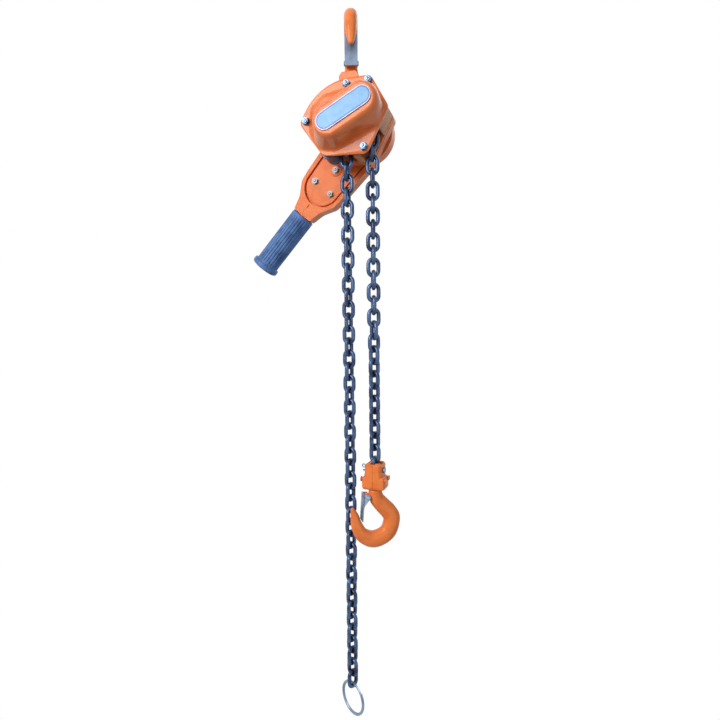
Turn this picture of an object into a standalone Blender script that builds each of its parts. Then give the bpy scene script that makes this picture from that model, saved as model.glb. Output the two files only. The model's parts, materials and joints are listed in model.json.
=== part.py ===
"""Lever chain hoist: a top hook, a geared body with a ratchet lever, a load chain with its hook
and a slack chain with its end ring. Metres, +Z up; the origin is the saddle of the top hook, the
load sheave turns about an axis along Y and the gear cover faces -Y."""
import math

import bmesh
import bpy
from mathutils import Matrix, Vector

mm = 0.001
GAP = 0.3 * mm                      # between faces that touch on the real hoist

# --- load chain -------------------------------------------------------------------------------
WIRE = 6.0 * mm
PITCH = 18.0 * mm                   # inside length of a link
LINK_WIDTH = 20.4 * mm              # outside width of a link
LINK_STEPS = 2                      # straight pieces in each rounded end
STAND_IN_WIRE = WIRE + 0.9 * mm            # fused stand-in links are a little fatter, so they join
END_LINK_WIRE = WIRE - 0.8 * mm            # where one run meets the next, its last link stays clear
LOAD_LINKS_HELD = 3                 # links between the sheave and the free strand
LOAD_LINKS_UPPER = 12
LOAD_LINKS_LOWER = 13
SLACK_LINKS_UPPER = 32
SLACK_LINKS_LOWER = 11
SLACK_X = -8.0 * mm
SLACK_BEND = (0.34, 0.43, 0.23)     # how the guided links share the sideways step
LOAD_TWIST = (15.0, 85.0)           # degrees about Z, at the sheave and at the hook
SLACK_TWIST = (0.0, -28.0)

# --- sheave, shaft and plates -------------------------------------------------------------------
SHAFT_X, SHAFT_Z = 6.5 * mm, -130.5 * mm
SHAFT_RADIUS = 6.0 * mm
POCKETS = 4
LEAVE_ANGLE = math.radians(8.3)     # where the load strand leaves the sheave
PLATE_GAP = 32.0 * mm               # between the two side plates
PLATE = 4.0 * mm
HUB_RADIUS = 13.5 * mm
BEARING_RADIUS = 18.2 * mm
SHEAVE_FLANGE_RADIUS = 27.0 * mm
SHEAVE_TOOTH_RADIUS = 25.4 * mm
SHEAVE_BARREL = 22.6 * mm           # width between the sheave's flanges
SHEAVE_FLANGE = 3.2 * mm
LINK_PLAY = 0.4 * mm

# body outline about the shaft: (x, z, corner radius), clockwise from the top right
BODY_CORNERS = ((27, 55.5, 9), (52.5, 10.5, 8), (21, -49.5, 9), (-43, -48, 13), (-77.5, -0.5, 8),
                (-48, 55.5, 78))
BODY_CENTRE = (-12, 3)
PLATE_INSET = 1.6 * mm

# bolts through the body, about the shaft
RIGHT_BOLT = (24.0 * mm, 47.5 * mm)
LEFT_BOLT = (-67.0 * mm, 2.0 * mm)
BOTTOM_BOLT = (17.0 * mm, -40.5 * mm)
TOP_PIN_Z = -84.5 * mm
BOLT_RADIUS = 3.5 * mm
STAY_RADIUS = 6.0 * mm
TOP_PIN_RADIUS = 5.0 * mm
NUT_RADIUS = 5.6 * mm
NUT_HEIGHT = 5.6 * mm

# --- gear cover and gears -----------------------------------------------------------------------
COVER_WALL = 3.0 * mm
COVER_DEPTH = 37.0 * mm             # from the side plate to the front face
# foot of the raised housing about the shaft: (x, z, corner radius)
HOUSING_CORNERS = ((12, 38.5, 10), (27, 37, 9), (47.5, 11, 8), (38, -12.5, 6), (-22, -40.5, 8),
                   (-46, -38, 12), (-61, -12, 8), (-59, 17, 10), (-42, 37, 40), (-17, 37.5, 8))
BOSS_CENTRE = (-2.7 * mm, 1.4 * mm)
BOSS_ANGLE = math.radians(28.0)
BOSS_SHOULDER = (48.5 * mm, 24.0 * mm)   # half length and half width where the sides round over
BOSS_TOP = (44.5 * mm, 19.5 * mm)
NAME_PLATE = (41.8 * mm, 12.6 * mm, 1.2 * mm)

MODULE = 1.25 * mm
LOAD_GEAR_TEETH, CLUSTER_PINION_TEETH = 27, 9
CLUSTER_GEAR_TEETH, DRIVE_PINION_TEETH = 28, 8
GEAR_WIDTH = 7.0 * mm
SPINDLE_RADIUS = 3.0 * mm

# --- brake --------------------------------------------------------------------------------------
BRAKE_DEPTH = 17.8 * mm             # from the side plate to the outside of the brake cover
BRAKE_WALL = 2.5 * mm
DISC = 2.0 * mm
DISC_RADIUS = 24.5 * mm
RATCHET = 3.4 * mm
RATCHET_TEETH = 12
RATCHET_TIP, RATCHET_ROOT = 30.0 * mm, 26.0 * mm
PAWL_PIVOT_RADIUS = 41.0 * mm
PAWL_PIVOT_LEAD = math.radians(42.0)
PAWL_NOTCHES = (math.radians(150.0), math.radians(330.0))
POST_RADIUS = 3.0 * mm
CHANGE_HUB_RADIUS = 15.0 * mm
CHANGE_TEETH = 12

# --- lever --------------------------------------------------------------------------------------
LEVER_ANGLE = math.radians(41.8)    # from straight down, towards -X
LEVER_INNER = 42.0 * mm             # y of the lever's inner face
LEVER_SPLIT = 52.5 * mm
LEVER_OUTER = 63.0 * mm
LEVER_WALL = 3.0 * mm
LEVER_HEAD = 43.5 * mm
LEVER_SHOULDER = (72.0 * mm, 36.5 * mm)
LEVER_WAIST = (108.0 * mm, 34.0 * mm)
LEVER_NECK = (151.0 * mm, 16.0 * mm)
STEM_RADIUS = 12.0 * mm
GRIP_START, GRIP_END = 153.0 * mm, 257.0 * mm
GRIP_RADIUS = 18.4 * mm
GRIP_FLANGE = (21.8 * mm, 8.0 * mm)
LEVER_BOLTS = ((99.5 * mm, 16.2 * mm), (99.5 * mm, -16.2 * mm), (67.0 * mm, 0.0))
SELECTOR_ALONG = 37.0 * mm
WHEEL_RADIUS = 27.0 * mm
WHEEL_LOBES = 10
WHEEL_PULL = 4.0 * mm

# --- hooks --------------------------------------------------------------------------------------
# centre line of the forging about its saddle: (across, up, half width, half thickness), mm
HOOK_STATIONS = ((0, 58, 9.6, 9.2), (2.5, 48, 11, 9.0), (11, 37.5, 11.8, 9.0), (19.5, 28, 12.2, 9.2),
                 (24.6, 16.5, 12.2, 9.6), (17.6, -3.4, 12.2, 9.8), (-2.6, -12.2, 12.2, 9.8),
                 (-20.4, -4.4, 10.4, 9.0), (-28.6, 11, 8.3, 7.8), (-31.6, 25, 5.8, 6.0),
                 (-34.6, 34.5, 2.9, 3.4))
HOOK_RING = 10                      # points round a section
HOOK_STEPS = 2                      # sections from one station to the next
SHANK_RADIUS = 7.0 * mm
SHANK_FOOT = 62.8 * mm
HEAD_RADIUS = 10.5 * mm
HEAD_FOOT, HEAD_TOP = 68.4 * mm, 74.4 * mm
LATCH_PIVOT = (-13.0 * mm, 52.5 * mm)
LATCH_PIN_RADIUS = 2.2 * mm
LATCH_WIDTH = 18.0 * mm
LATCH_END = (-18.9 * mm, 16.5 * mm)
LATCH_TOP = (-19.4 * mm, 57.0 * mm)
LATCH_SHEET = 1.8 * mm
LOAD_HOOK_TURN = math.radians(27.0)
TOP_HOOK_TURN = math.radians(15.8)

# --- yokes --------------------------------------------------------------------------------------
YOKE_HALF_WIDTH = 17.5 * mm
YOKE_DEPTH = 27.0 * mm
YOKE_FLOOR = 5.3 * mm
EAR_HALF_WIDTH = 12.5 * mm
EAR_DEPTH = 27.0 * mm
POCKET_HALF = 11.4 * mm            # room for the last link's width
CHAIN_PIN_RADIUS = 3.0 * mm
YOKE_BOLT_RADIUS = 2.2 * mm
TOP_YOKE_HALF_WIDTH = 14.5 * mm
TOP_YOKE_DEPTH = PLATE_GAP - 1.4 * mm

# --- end ring -----------------------------------------------------------------------------------
RING_RADIUS = 23.8 * mm
RING_WIRE = 4.4 * mm
RING_TURN = math.radians(-36.0)

ORANGE = (0.87, 0.20, 0.05)
COLOURS = {
    "orange_paint": (ORANGE, 0.3, 0.0),
    "zinc_steel": ((0.62, 0.65, 0.68), 0.35, 0.9),
    "chain_steel": ((0.10, 0.12, 0.17), 0.4, 0.8),
    "machined_steel": ((0.45, 0.46, 0.48), 0.35, 0.9),
    "dark_rubber": ((0.06, 0.08, 0.13), 0.6, 0.0),
    "friction_lining": ((0.12, 0.09, 0.07), 0.9, 0.0),
    "plate_blue": ((0.55, 0.75, 0.88), 0.3, 0.0),
}


# --- scene set-up -------------------------------------------------------------------------------
def clear_scene():
    for obj in list(bpy.data.objects):
        bpy.data.objects.remove(obj, do_unlink=True)


def make_collection(name):
    collection = bpy.data.collections.new(name)
    bpy.context.scene.collection.children.link(collection)
    return collection


def make_material(name):
    colour, roughness, metallic = COLOURS[name]
    material = bpy.data.materials.new(name)
    material.use_nodes = True
    shader = material.node_tree.nodes["Principled BSDF"]
    shader.inputs["Base Color"].default_value = (*colour, 1.0)
    shader.inputs["Roughness"].default_value = roughness
    shader.inputs["Metallic"].default_value = metallic
    return material


clear_scene()
HOIST = make_collection("lever_chain_hoist")
WORKSHOP = make_collection("working_shapes")
MATERIALS = {name: make_material(name) for name in COLOURS}
BODIES = {}


def body(name, pivot):
    """An empty on the joint axis of one moving body; its pieces are parented to it."""
    empty = bpy.data.objects.new(name + "_body", None)
    empty.location = pivot
    empty.empty_display_size = 0.01
    HOIST.objects.link(empty)
    BODIES[name] = empty


def piece(name, mesh, material, body_name):
    """One named sub-part: a world-space mesh moved onto the origin of the body that carries it."""
    carrier = BODIES[body_name]
    mesh.transform(Matrix.Translation(-carrier.location))
    mesh.name = name
    mesh.materials.clear()
    mesh.materials.append(MATERIALS[material])
    mesh.shade_smooth()
    mesh.set_sharp_from_angle(angle=math.radians(35.0))
    obj = bpy.data.objects.new(name, mesh)
    obj.parent = carrier
    HOIST.objects.link(obj)
    return obj


# --- shape helpers ------------------------------------------------------------------------------
def evaluated_mesh(obj):
    """The object's shape with its modifiers, as a mesh with welded seams; the object goes."""
    WORKSHOP.objects.link(obj)
    bpy.context.view_layer.update()
    graph = bpy.context.evaluated_depsgraph_get()
    mesh = bpy.data.meshes.new_from_object(obj.evaluated_get(graph), depsgraph=graph)
    mesh.transform(obj.matrix_world)
    bpy.data.objects.remove(obj, do_unlink=True)
    bm = bmesh.new()
    bm.from_mesh(mesh)
    bmesh.ops.remove_doubles(bm, verts=bm.verts, dist=1e-6)
    bmesh.ops.recalc_face_normals(bm, faces=bm.faces)
    bm.to_mesh(mesh)
    bm.free()
    return mesh


def mesh_of(bm):
    bmesh.ops.recalc_face_normals(bm, faces=bm.faces)
    mesh = bpy.data.meshes.new("shape")
    bm.to_mesh(mesh)
    bm.free()
    return mesh


def boolean(mesh, other, operation):
    """EXACT boolean of two closed meshes in world space."""
    target = bpy.data.objects.new("target", mesh)
    tool = bpy.data.objects.new("tool", other)
    tool.hide_render = True
    tool.display_type = "WIRE"
    WORKSHOP.objects.link(tool)
    modifier = target.modifiers.new("boolean", "BOOLEAN")
    modifier.operation = operation
    modifier.object = tool
    result = evaluated_mesh(target)
    bpy.data.objects.remove(tool, do_unlink=True)
    return result


def cut(mesh, *others):
    for other in others:
        mesh = boolean(mesh, other, "DIFFERENCE")
    return mesh


def join(mesh, *others):
    for other in others:
        mesh = boolean(mesh, other, "UNION")
    return mesh


def bevelled(mesh, width, segments=1, angle=40.0):
    obj = bpy.data.objects.new("bevelled", mesh)
    modifier = obj.modifiers.new("bevel", "BEVEL")
    modifier.width = width
    modifier.segments = segments
    modifier.limit_method = "ANGLE"
    modifier.angle_limit = math.radians(angle)
    return evaluated_mesh(obj)


def box(low, high, placed=None):
    low, high = Vector(low), Vector(high)
    bm = bmesh.new()
    size = high - low
    matrix = Matrix.Translation((low + high) / 2) @ Matrix.Diagonal((*size, 1.0))
    if placed is not None:
        matrix = placed @ matrix
    bmesh.ops.create_cube(bm, size=1.0, matrix=matrix)
    return mesh_of(bm)


def towards(direction):
    """Rotation that turns +Z to the direction."""
    return Vector(direction).to_track_quat("Z", "Y").to_matrix().to_4x4()


def rod(start, end, radius, sides=16):
    start, end = Vector(start), Vector(end)
    bm = bmesh.new()
    matrix = Matrix.Translation((start + end) / 2) @ towards(end - start)
    bmesh.ops.create_cone(bm, cap_ends=True, segments=sides, radius1=radius, radius2=radius,
                          depth=(end - start).length, matrix=matrix)
    return mesh_of(bm)


def y_rod(x, z, y0, y1, radius, sides=16):
    return rod((x, y0, z), (x, y1, z), radius, sides)


def turned(profile, origin, axis, steps=20):
    """Solid or ring of revolution; the profile (radius, height) runs down its outer side."""
    count = len(profile)
    hollow = profile[0][0] > 0.0
    edges = [(i, i + 1) for i in range(count - 1)]
    if hollow:
        edges.append((count - 1, 0))
    mesh = bpy.data.meshes.new("profile")
    mesh.from_pydata([(radius, 0.0, height) for radius, height in profile], edges, [])
    obj = bpy.data.objects.new("turned", mesh)
    obj.matrix_world = Matrix.Translation(origin) @ towards(axis)
    screw = obj.modifiers.new("screw", "SCREW")
    screw.axis = "Z"
    screw.steps = steps
    screw.render_steps = steps
    screw.use_merge_vertices = True
    screw.merge_threshold = 1e-5
    return evaluated_mesh(obj)


def on_shaft(profile, steps=20):
    """Turned piece on the shaft; profile heights are y, and it runs from +Y to -Y outside."""
    return turned(profile, (SHAFT_X, 0.0, SHAFT_Z), (0, 1, 0), steps)


def ring_profile(outer, inner, low, high):
    return ((outer, high), (outer, low), (inner, low), (inner, high))


def plate(outlines, y0, y1, origin=(SHAFT_X, SHAFT_Z)):
    """Flat plate from closed outlines in X and Z about the origin; inner outlines are holes."""
    curve = bpy.data.curves.new("outline", "CURVE")
    curve.dimensions = "2D"
    curve.fill_mode = "BOTH"
    curve.extrude = (y1 - y0) / 2
    for outline in outlines:
        spline = curve.splines.new("POLY")
        spline.points.add(len(outline) - 1)
        for point, (x, z) in zip(spline.points, outline):
            point.co = (x, z, 0.0, 1.0)
        spline.use_cyclic_u = True
    obj = bpy.data.objects.new("plate", curve)
    obj.matrix_world = (Matrix.Translation((origin[0], (y0 + y1) / 2, origin[1]))
                        @ Matrix.Rotation(math.radians(90.0), 4, "X"))
    return evaluated_mesh(obj)


def wire(points, radius, resolution=2, closed=False):
    """Round wire along straight pieces."""
    curve = bpy.data.curves.new("wire", "CURVE")
    curve.dimensions = "3D"
    curve.bevel_depth = radius
    curve.bevel_resolution = resolution
    curve.use_fill_caps = not closed
    spline = curve.splines.new("POLY")
    spline.points.add(len(points) - 1)
    for point, place in zip(spline.points, points):
        point.co = (*place, 1.0)
    spline.use_cyclic_u = closed
    return evaluated_mesh(bpy.data.objects.new("wire", curve))


def circle(radius, x=0.0, z=0.0, steps=20):
    turn = 2 * math.pi / steps
    return [(x + radius * math.cos(turn * i), z + radius * math.sin(turn * i)) for i in range(steps)]


def rounded(corners, arc_step=math.radians(18.0)):
    """Closed outline through (x, z, radius) corners, each rounded by an arc."""
    outline = []
    count = len(corners)
    for i, (x, z, radius) in enumerate(corners):
        corner = Vector((x, z))
        before = (Vector(corners[i - 1][:2]) - corner).normalized()
        after = (Vector(corners[(i + 1) % count][:2]) - corner).normalized()
        half = math.acos(max(-1.0, min(1.0, before.dot(after)))) / 2
        centre = corner + (before + after).normalized() * (radius / math.sin(half))
        start = corner + before * (radius / math.tan(half)) - centre
        sweep = math.pi - 2 * half
        if before.x * after.y - before.y * after.x > 0:
            sweep = -sweep
        steps = max(1, round(abs(sweep) / arc_step))
        for k in range(steps + 1):
            turned_by = Matrix.Rotation(sweep * k / steps, 2)
            outline.append(tuple(centre + turned_by @ start))
    return outline


def body_outline(inset=0.0):
    """The body's outline, its corners drawn in towards the middle."""
    middle = Vector(BODY_CENTRE) * mm
    corners = []
    for x, z, radius in BODY_CORNERS:
        corner = Vector((x, z)) * mm
        corner -= (corner - middle).normalized() * inset
        corners.append((corner.x, corner.y, radius * mm))
    return rounded(corners)


def stadium(half_length, half_width, angle, centre, steps=10):
    outline = []
    along = Vector((math.cos(angle), math.sin(angle)))
    for side in (1, -1):
        middle = Vector(centre) + along * side * (half_length - half_width)
        for k in range(steps + 1):
            turn = angle + math.pi * (k / steps - 0.5) + (0.0 if side == 1 else math.pi)
            outline.append(tuple(middle + Vector((math.cos(turn), math.sin(turn))) * half_width))
    return outline


def about_shaft(point):
    return SHAFT_X + point[0], SHAFT_Z + point[1]


# --- where things are along Y -------------------------------------------------------------------
PLATE_IN = PLATE_GAP / 2
PLATE_OUT = PLATE_IN + PLATE
FLANGE_FACE = -(PLATE_OUT + GAP + COVER_WALL)
COVER_FACE = -(PLATE_OUT + COVER_DEPTH)
LOAD_GEAR_Y = (-PLATE_OUT - 2.5 * mm - GEAR_WIDTH, -PLATE_OUT - 2.5 * mm)
CLUSTER_GEAR_Y = (LOAD_GEAR_Y[0] - 1.5 * mm - GEAR_WIDTH, LOAD_GEAR_Y[0] - 1.5 * mm)
SHEAVE_HALF = SHEAVE_BARREL / 2 + SHEAVE_FLANGE
HUB_FLANGE_Y = (PLATE_OUT + 1.0 * mm, PLATE_OUT + 3.6 * mm)
INNER_DISC_Y = (HUB_FLANGE_Y[1] + GAP, HUB_FLANGE_Y[1] + GAP + DISC)
RATCHET_Y = (INNER_DISC_Y[1] + GAP, INNER_DISC_Y[1] + GAP + RATCHET)
OUTER_DISC_Y = (RATCHET_Y[1] + GAP, RATCHET_Y[1] + GAP + DISC)
CHANGE_FLANGE_Y = (OUTER_DISC_Y[1] + GAP, OUTER_DISC_Y[1] + GAP + 2.2 * mm)
BRAKE_FACE = PLATE_OUT + BRAKE_DEPTH
CHANGE_GEAR_Y = (46.0 * mm, 56.0 * mm)
WHEEL_Y = (LEVER_OUTER + 3.0 * mm, LEVER_OUTER + 13.0 * mm)
SHAFT_END = WHEEL_Y[1] + WHEEL_PULL + 9.0 * mm
SHAFT_BORE = SHAFT_RADIUS + GAP


# --- chain --------------------------------------------------------------------------------------
JOINT_RADIUS = PITCH / 2 / math.sin(math.pi / (2 * POCKETS))
JOINT_APOTHEM = JOINT_RADIUS * math.cos(math.pi / (2 * POCKETS))


def sheave_joint(index):
    """Point where two links meet on the sheave; 0 is where the load strand leaves."""
    angle = LEAVE_ANGLE + index * math.pi / POCKETS
    return Vector((SHAFT_X + JOINT_RADIUS * math.cos(angle), 0.0,
                   SHAFT_Z + JOINT_RADIUS * math.sin(angle)))


def straight_joints(start, count):
    return [start - Vector((0.0, 0.0, PITCH * i)) for i in range(count + 1)]


def guided_joints(start):
    joints = [start]
    for share in SLACK_BEND:
        across = (SLACK_X - start.x) * share
        joints.append(joints[-1] + Vector((across, 0.0, -math.sqrt(PITCH ** 2 - across ** 2))))
    return joints


def link_mesh(upper, lower, twist, size, steps):
    """One link between two joint points; its flat side is turned about its own length."""
    end_radius = (LINK_WIDTH - WIRE) / 2
    straight = (PITCH + WIRE) / 2 - end_radius
    length = upper - lower
    tilt = Vector((0, 0, 1)).rotation_difference(length).to_matrix().to_4x4()
    placed = Matrix.Translation((upper + lower) / 2) @ tilt @ Matrix.Rotation(twist, 4, "Z")
    bm = bmesh.new()
    loops = []
    for side in (1, -1):
        for k in range(steps + 1):
            turn = math.pi * k / steps + (0.0 if side == 1 else math.pi)
            outward = Vector((math.cos(turn), 0.0, math.sin(turn)))
            centre = outward * end_radius + Vector((0.0, 0.0, side * straight))
            offsets = (outward, Vector((0, 1, 0)), -outward, Vector((0, -1, 0)))
            loops.append([bm.verts.new(placed @ (centre + offset * size / 2)) for offset in offsets])
    for i, loop in enumerate(loops):
        before = loops[i - 1]
        for k in range(4):
            bm.faces.new((before[k], before[(k + 1) % 4], loop[(k + 1) % 4], loop[k]))
    return mesh_of(bm)


def merged(meshes):
    bm = bmesh.new()
    for mesh in meshes:
        bm.from_mesh(mesh)
    return mesh_of(bm)


def strand(joints, twists, steps=LINK_STEPS):
    """Stand-in for a run of chain: links overlap a little and are joined; the end links are thin."""
    links = []
    last = len(joints) - 2
    for i in range(len(joints) - 1):
        at_end = i in (0, last)
        size = END_LINK_WIRE if at_end else STAND_IN_WIRE
        links.append(link_mesh(joints[i], joints[i + 1], twists[i], size, 4 if at_end else steps))
    return join(merged(links[0::2]), merged(links[1::2]))


def link_twists(first, count, start_deg, end_deg, done, total):
    """Turn of each link: every other link stands square to the last, and the run twists slowly."""
    twists = []
    for i in range(count):
        share = (done + i) / (total - 1)
        smooth = share * share * (3 - 2 * share)
        square = math.radians(90.0) * ((first + i) % 2)
        twists.append(math.radians(start_deg + (end_deg - start_deg) * smooth) + square)
    return twists


HELD_SLACK = len(SLACK_BEND)
LOAD_FREE = LOAD_LINKS_UPPER + LOAD_LINKS_LOWER
SLACK_FREE = SLACK_LINKS_UPPER + SLACK_LINKS_LOWER
LOAD_JOINTS = straight_joints(sheave_joint(0), LOAD_LINKS_HELD + LOAD_FREE)
SLACK_GUIDED = guided_joints(sheave_joint(POCKETS))
SLACK_JOINTS = straight_joints(SLACK_GUIDED[-1], SLACK_FREE)
LOAD_SWING = LOAD_JOINTS[LOAD_LINKS_HELD]
LOAD_BEND_POINT = LOAD_JOINTS[LOAD_LINKS_HELD + LOAD_LINKS_UPPER]
CHAIN_PIN_Z = LOAD_JOINTS[-1].z + CHAIN_PIN_RADIUS     # the pin rests on the last link's inner end
SLACK_SWING = SLACK_JOINTS[0]
SLACK_BEND_POINT = SLACK_JOINTS[SLACK_LINKS_UPPER]
LOAD_X = LOAD_SWING.x
YOKE_BOTTOM = CHAIN_PIN_Z - 29.0 * mm
LOAD_SADDLE = Vector((LOAD_X, 0.0, YOKE_BOTTOM - SHANK_FOOT + GAP))
RING_TOP = Vector((SLACK_X, 0.0, SLACK_JOINTS[-1].z + RING_WIRE / 2 - 0.1 * mm))
PIN_TURN = math.radians(LOAD_TWIST[1] - 90.0)


def make_chain():
    turn_over = [sheave_joint(i) for i in range(POCKETS, -1, -1)]
    joints = list(reversed(SLACK_GUIDED)) + turn_over[1:] + LOAD_JOINTS[1:LOAD_LINKS_HELD + 1]
    in_plane = [math.radians(90.0) * (i % 2) for i in range(len(joints) - 1)]
    piece("chain_over_sheave", strand(joints, in_plane, 2 * LINK_STEPS), "chain_steel", "frame")
    upper = LOAD_JOINTS[LOAD_LINKS_HELD:LOAD_LINKS_HELD + LOAD_LINKS_UPPER + 1]
    lower = LOAD_JOINTS[LOAD_LINKS_HELD + LOAD_LINKS_UPPER:]
    twists = link_twists(0, LOAD_FREE, *LOAD_TWIST, 0, LOAD_FREE)
    piece("load_chain_upper", strand(upper, twists[:LOAD_LINKS_UPPER]), "chain_steel", "load_upper")
    piece("load_chain_lower", strand(lower, twists[LOAD_LINKS_UPPER:]), "chain_steel", "load_lower")
    twists = link_twists(1, SLACK_FREE, *SLACK_TWIST, 0, SLACK_FREE)
    upper = SLACK_JOINTS[:SLACK_LINKS_UPPER + 1]
    lower = SLACK_JOINTS[SLACK_LINKS_UPPER:]
    piece("slack_chain_upper", strand(upper, twists[:SLACK_LINKS_UPPER]), "chain_steel", "slack_upper")
    piece("slack_chain_lower", strand(lower, twists[SLACK_LINKS_UPPER:]), "chain_steel", "slack_lower")


# --- gears --------------------------------------------------------------------------------------
def gear_outline(teeth, phase, centre=(0.0, 0.0)):
    """Straight-flanked teeth, thinned so that a pair runs with backlash; phase aims one tooth."""
    pitch_radius = MODULE * teeth / 2
    rings = ((pitch_radius - 1.2 * MODULE, 0.34), (pitch_radius + 0.85 * MODULE, 0.13))
    pitch_angle = 2 * math.pi / teeth
    outline = []
    for k in range(teeth):
        middle = phase + k * pitch_angle
        for radius, share in (rings[0], rings[1]):
            angle = middle - share * pitch_angle
            outline.append((centre[0] + radius * math.cos(angle), centre[1] + radius * math.sin(angle)))
        for radius, share in (rings[1], rings[0]):
            angle = middle + share * pitch_angle
            outline.append((centre[0] + radius * math.cos(angle), centre[1] + radius * math.sin(angle)))
    return outline


GEAR_CENTRES = MODULE * (LOAD_GEAR_TEETH + CLUSTER_PINION_TEETH) / 2


def make_gears():
    load = plate([gear_outline(LOAD_GEAR_TEETH, BOSS_ANGLE), circle(11.3 * mm)], *LOAD_GEAR_Y)
    piece("load_gear", load, "machined_steel", "sheave")
    for name, body_name, side in (("gear_cluster_right", "cluster_right", 0),
                                  ("gear_cluster_left", "cluster_left", 1)):
        direction = BOSS_ANGLE + math.pi * side
        centre = (GEAR_CENTRES * math.cos(direction), GEAR_CENTRES * math.sin(direction))
        x, z = about_shaft(centre)
        load_tooth_here = (LOAD_GEAR_TEETH * side) % 2 == 0
        towards_shaft = direction + math.pi
        half_pinion = math.pi / CLUSTER_PINION_TEETH if load_tooth_here else 0.0
        pinion = plate([gear_outline(CLUSTER_PINION_TEETH, towards_shaft + half_pinion, centre)],
                       LOAD_GEAR_Y[0] - 2.0 * mm, LOAD_GEAR_Y[1])
        gear = plate([gear_outline(CLUSTER_GEAR_TEETH, towards_shaft + math.pi / CLUSTER_GEAR_TEETH,
                                   centre)], *CLUSTER_GEAR_Y)
        spindle = y_rod(x, z, CLUSTER_GEAR_Y[0] - 3.0 * mm, -PLATE_IN - 0.5 * mm, SPINDLE_RADIUS, 12)
        piece(name, join(gear, pinion, spindle), "machined_steel", body_name)


def make_drive():
    shaft = y_rod(SHAFT_X, SHAFT_Z, CLUSTER_GEAR_Y[1] + 0.5 * mm, SHAFT_END, SHAFT_RADIUS, 20)
    pinion = plate([gear_outline(DRIVE_PINION_TEETH, BOSS_ANGLE)],
                   CLUSTER_GEAR_Y[0] - 0.5 * mm, CLUSTER_GEAR_Y[1] + 1.0 * mm)
    nose = y_rod(SHAFT_X, SHAFT_Z, CLUSTER_GEAR_Y[0] - 5.0 * mm, CLUSTER_GEAR_Y[0], 3.2 * mm, 12)
    piece("drive_shaft", join(shaft, pinion, nose), "machined_steel", "drive")


# --- sheave and its bearings --------------------------------------------------------------------
def make_sheave():
    gear_seat = LOAD_GEAR_Y[0] - 0.5 * mm
    edge = SHEAVE_HALF
    barrel = SHEAVE_BARREL / 2
    profile = ((HUB_RADIUS, PLATE_OUT + 0.3 * mm), (HUB_RADIUS, edge), (SHEAVE_FLANGE_RADIUS, edge),
               (SHEAVE_FLANGE_RADIUS, barrel), (SHEAVE_TOOTH_RADIUS, barrel),
               (SHEAVE_TOOTH_RADIUS, -barrel), (SHEAVE_FLANGE_RADIUS, -barrel),
               (SHEAVE_FLANGE_RADIUS, -edge), (HUB_RADIUS, -edge),
               (HUB_RADIUS, LOAD_GEAR_Y[1] + 0.3 * mm), (11.0 * mm, LOAD_GEAR_Y[1] + 0.3 * mm),
               (11.0 * mm, gear_seat), (SHAFT_BORE, gear_seat), (SHAFT_BORE, PLATE_OUT + 0.3 * mm))
    sheave = on_shaft(profile, 24)
    groove_floor = JOINT_APOTHEM - LINK_WIDTH / 2 - 2 * LINK_PLAY
    groove_half = STAND_IN_WIRE / 2 + LINK_PLAY
    groove = on_shaft(ring_profile(SHEAVE_TOOTH_RADIUS + 2 * mm, groove_floor, -groove_half,
                                   groove_half), 24)
    sheave = cut(sheave, groove)
    floor = JOINT_APOTHEM - STAND_IN_WIRE / 2 - LINK_PLAY
    pocket_half = (PITCH + 2 * WIRE) / 2 + 2 * LINK_PLAY
    for k in range(POCKETS):
        angle = LEAVE_ANGLE + math.pi / POCKETS * (2 * k + 1.5)
        placed = (Matrix.Translation((SHAFT_X, 0.0, SHAFT_Z)) @ Matrix.Rotation(-angle, 4, "Y"))
        pocket = box((floor, -barrel + 0.01 * mm, -pocket_half),
                     (SHEAVE_TOOTH_RADIUS + 2 * mm, barrel - 0.01 * mm, pocket_half), placed)
        sheave = cut(sheave, pocket)
    piece("load_sheave", sheave, "machined_steel", "sheave")
    inner = HUB_RADIUS + GAP
    for name, low in (("sheave_bearing_gear_side", -PLATE_OUT), ("sheave_bearing_brake_side", PLATE_IN)):
        ring = on_shaft(ring_profile(BEARING_RADIUS, inner, low, low + PLATE), 20)
        piece(name, ring, "machined_steel", "frame")


# --- body: plates, stays, guides, covers ----------------------------------------------------------
def make_side_plates():
    hole = circle(BEARING_RADIUS + GAP, steps=20)
    stays = [circle(BOLT_RADIUS + GAP, *point, steps=12) for point in (RIGHT_BOLT, LEFT_BOLT)]
    pin = circle(TOP_PIN_RADIUS + GAP, -SHAFT_X, TOP_PIN_Z - SHAFT_Z, 12)
    bottom = circle(BOLT_RADIUS + GAP, *BOTTOM_BOLT, steps=12)
    guides = [circle(3.0 * mm + GAP, *point, steps=12) for point in (STRIPPER_PIN, ROLLER)]
    spindles = []
    for side in (0, 1):
        direction = BOSS_ANGLE + math.pi * side
        spindles.append(circle(SPINDLE_RADIUS + GAP, GEAR_CENTRES * math.cos(direction),
                               GEAR_CENTRES * math.sin(direction), 12))
    outline = body_outline(PLATE_INSET)
    gear_side = plate([outline, hole, pin, bottom, *stays, *guides, *spindles], -PLATE_OUT, -PLATE_IN)
    piece("gear_side_plate", gear_side, "orange_paint", "frame")
    brake_side = plate([outline, hole, pin, *stays, *guides], PLATE_IN, PLATE_OUT)
    for notch in PAWL_NOTCHES:
        x, z = pawl_pivot(notch)
        brake_side = join(brake_side, y_rod(x, z, PLATE_OUT - 1 * mm, OUTER_DISC_Y[1], POST_RADIUS, 12))
    piece("brake_side_plate", brake_side, "orange_paint", "frame")


STRIPPER_PIN = (4.6 * mm, -42.0 * mm)
ROLLER = (-37.5 * mm, -38.5 * mm)
ROLLER_RADIUS = 11.5 * mm


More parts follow.
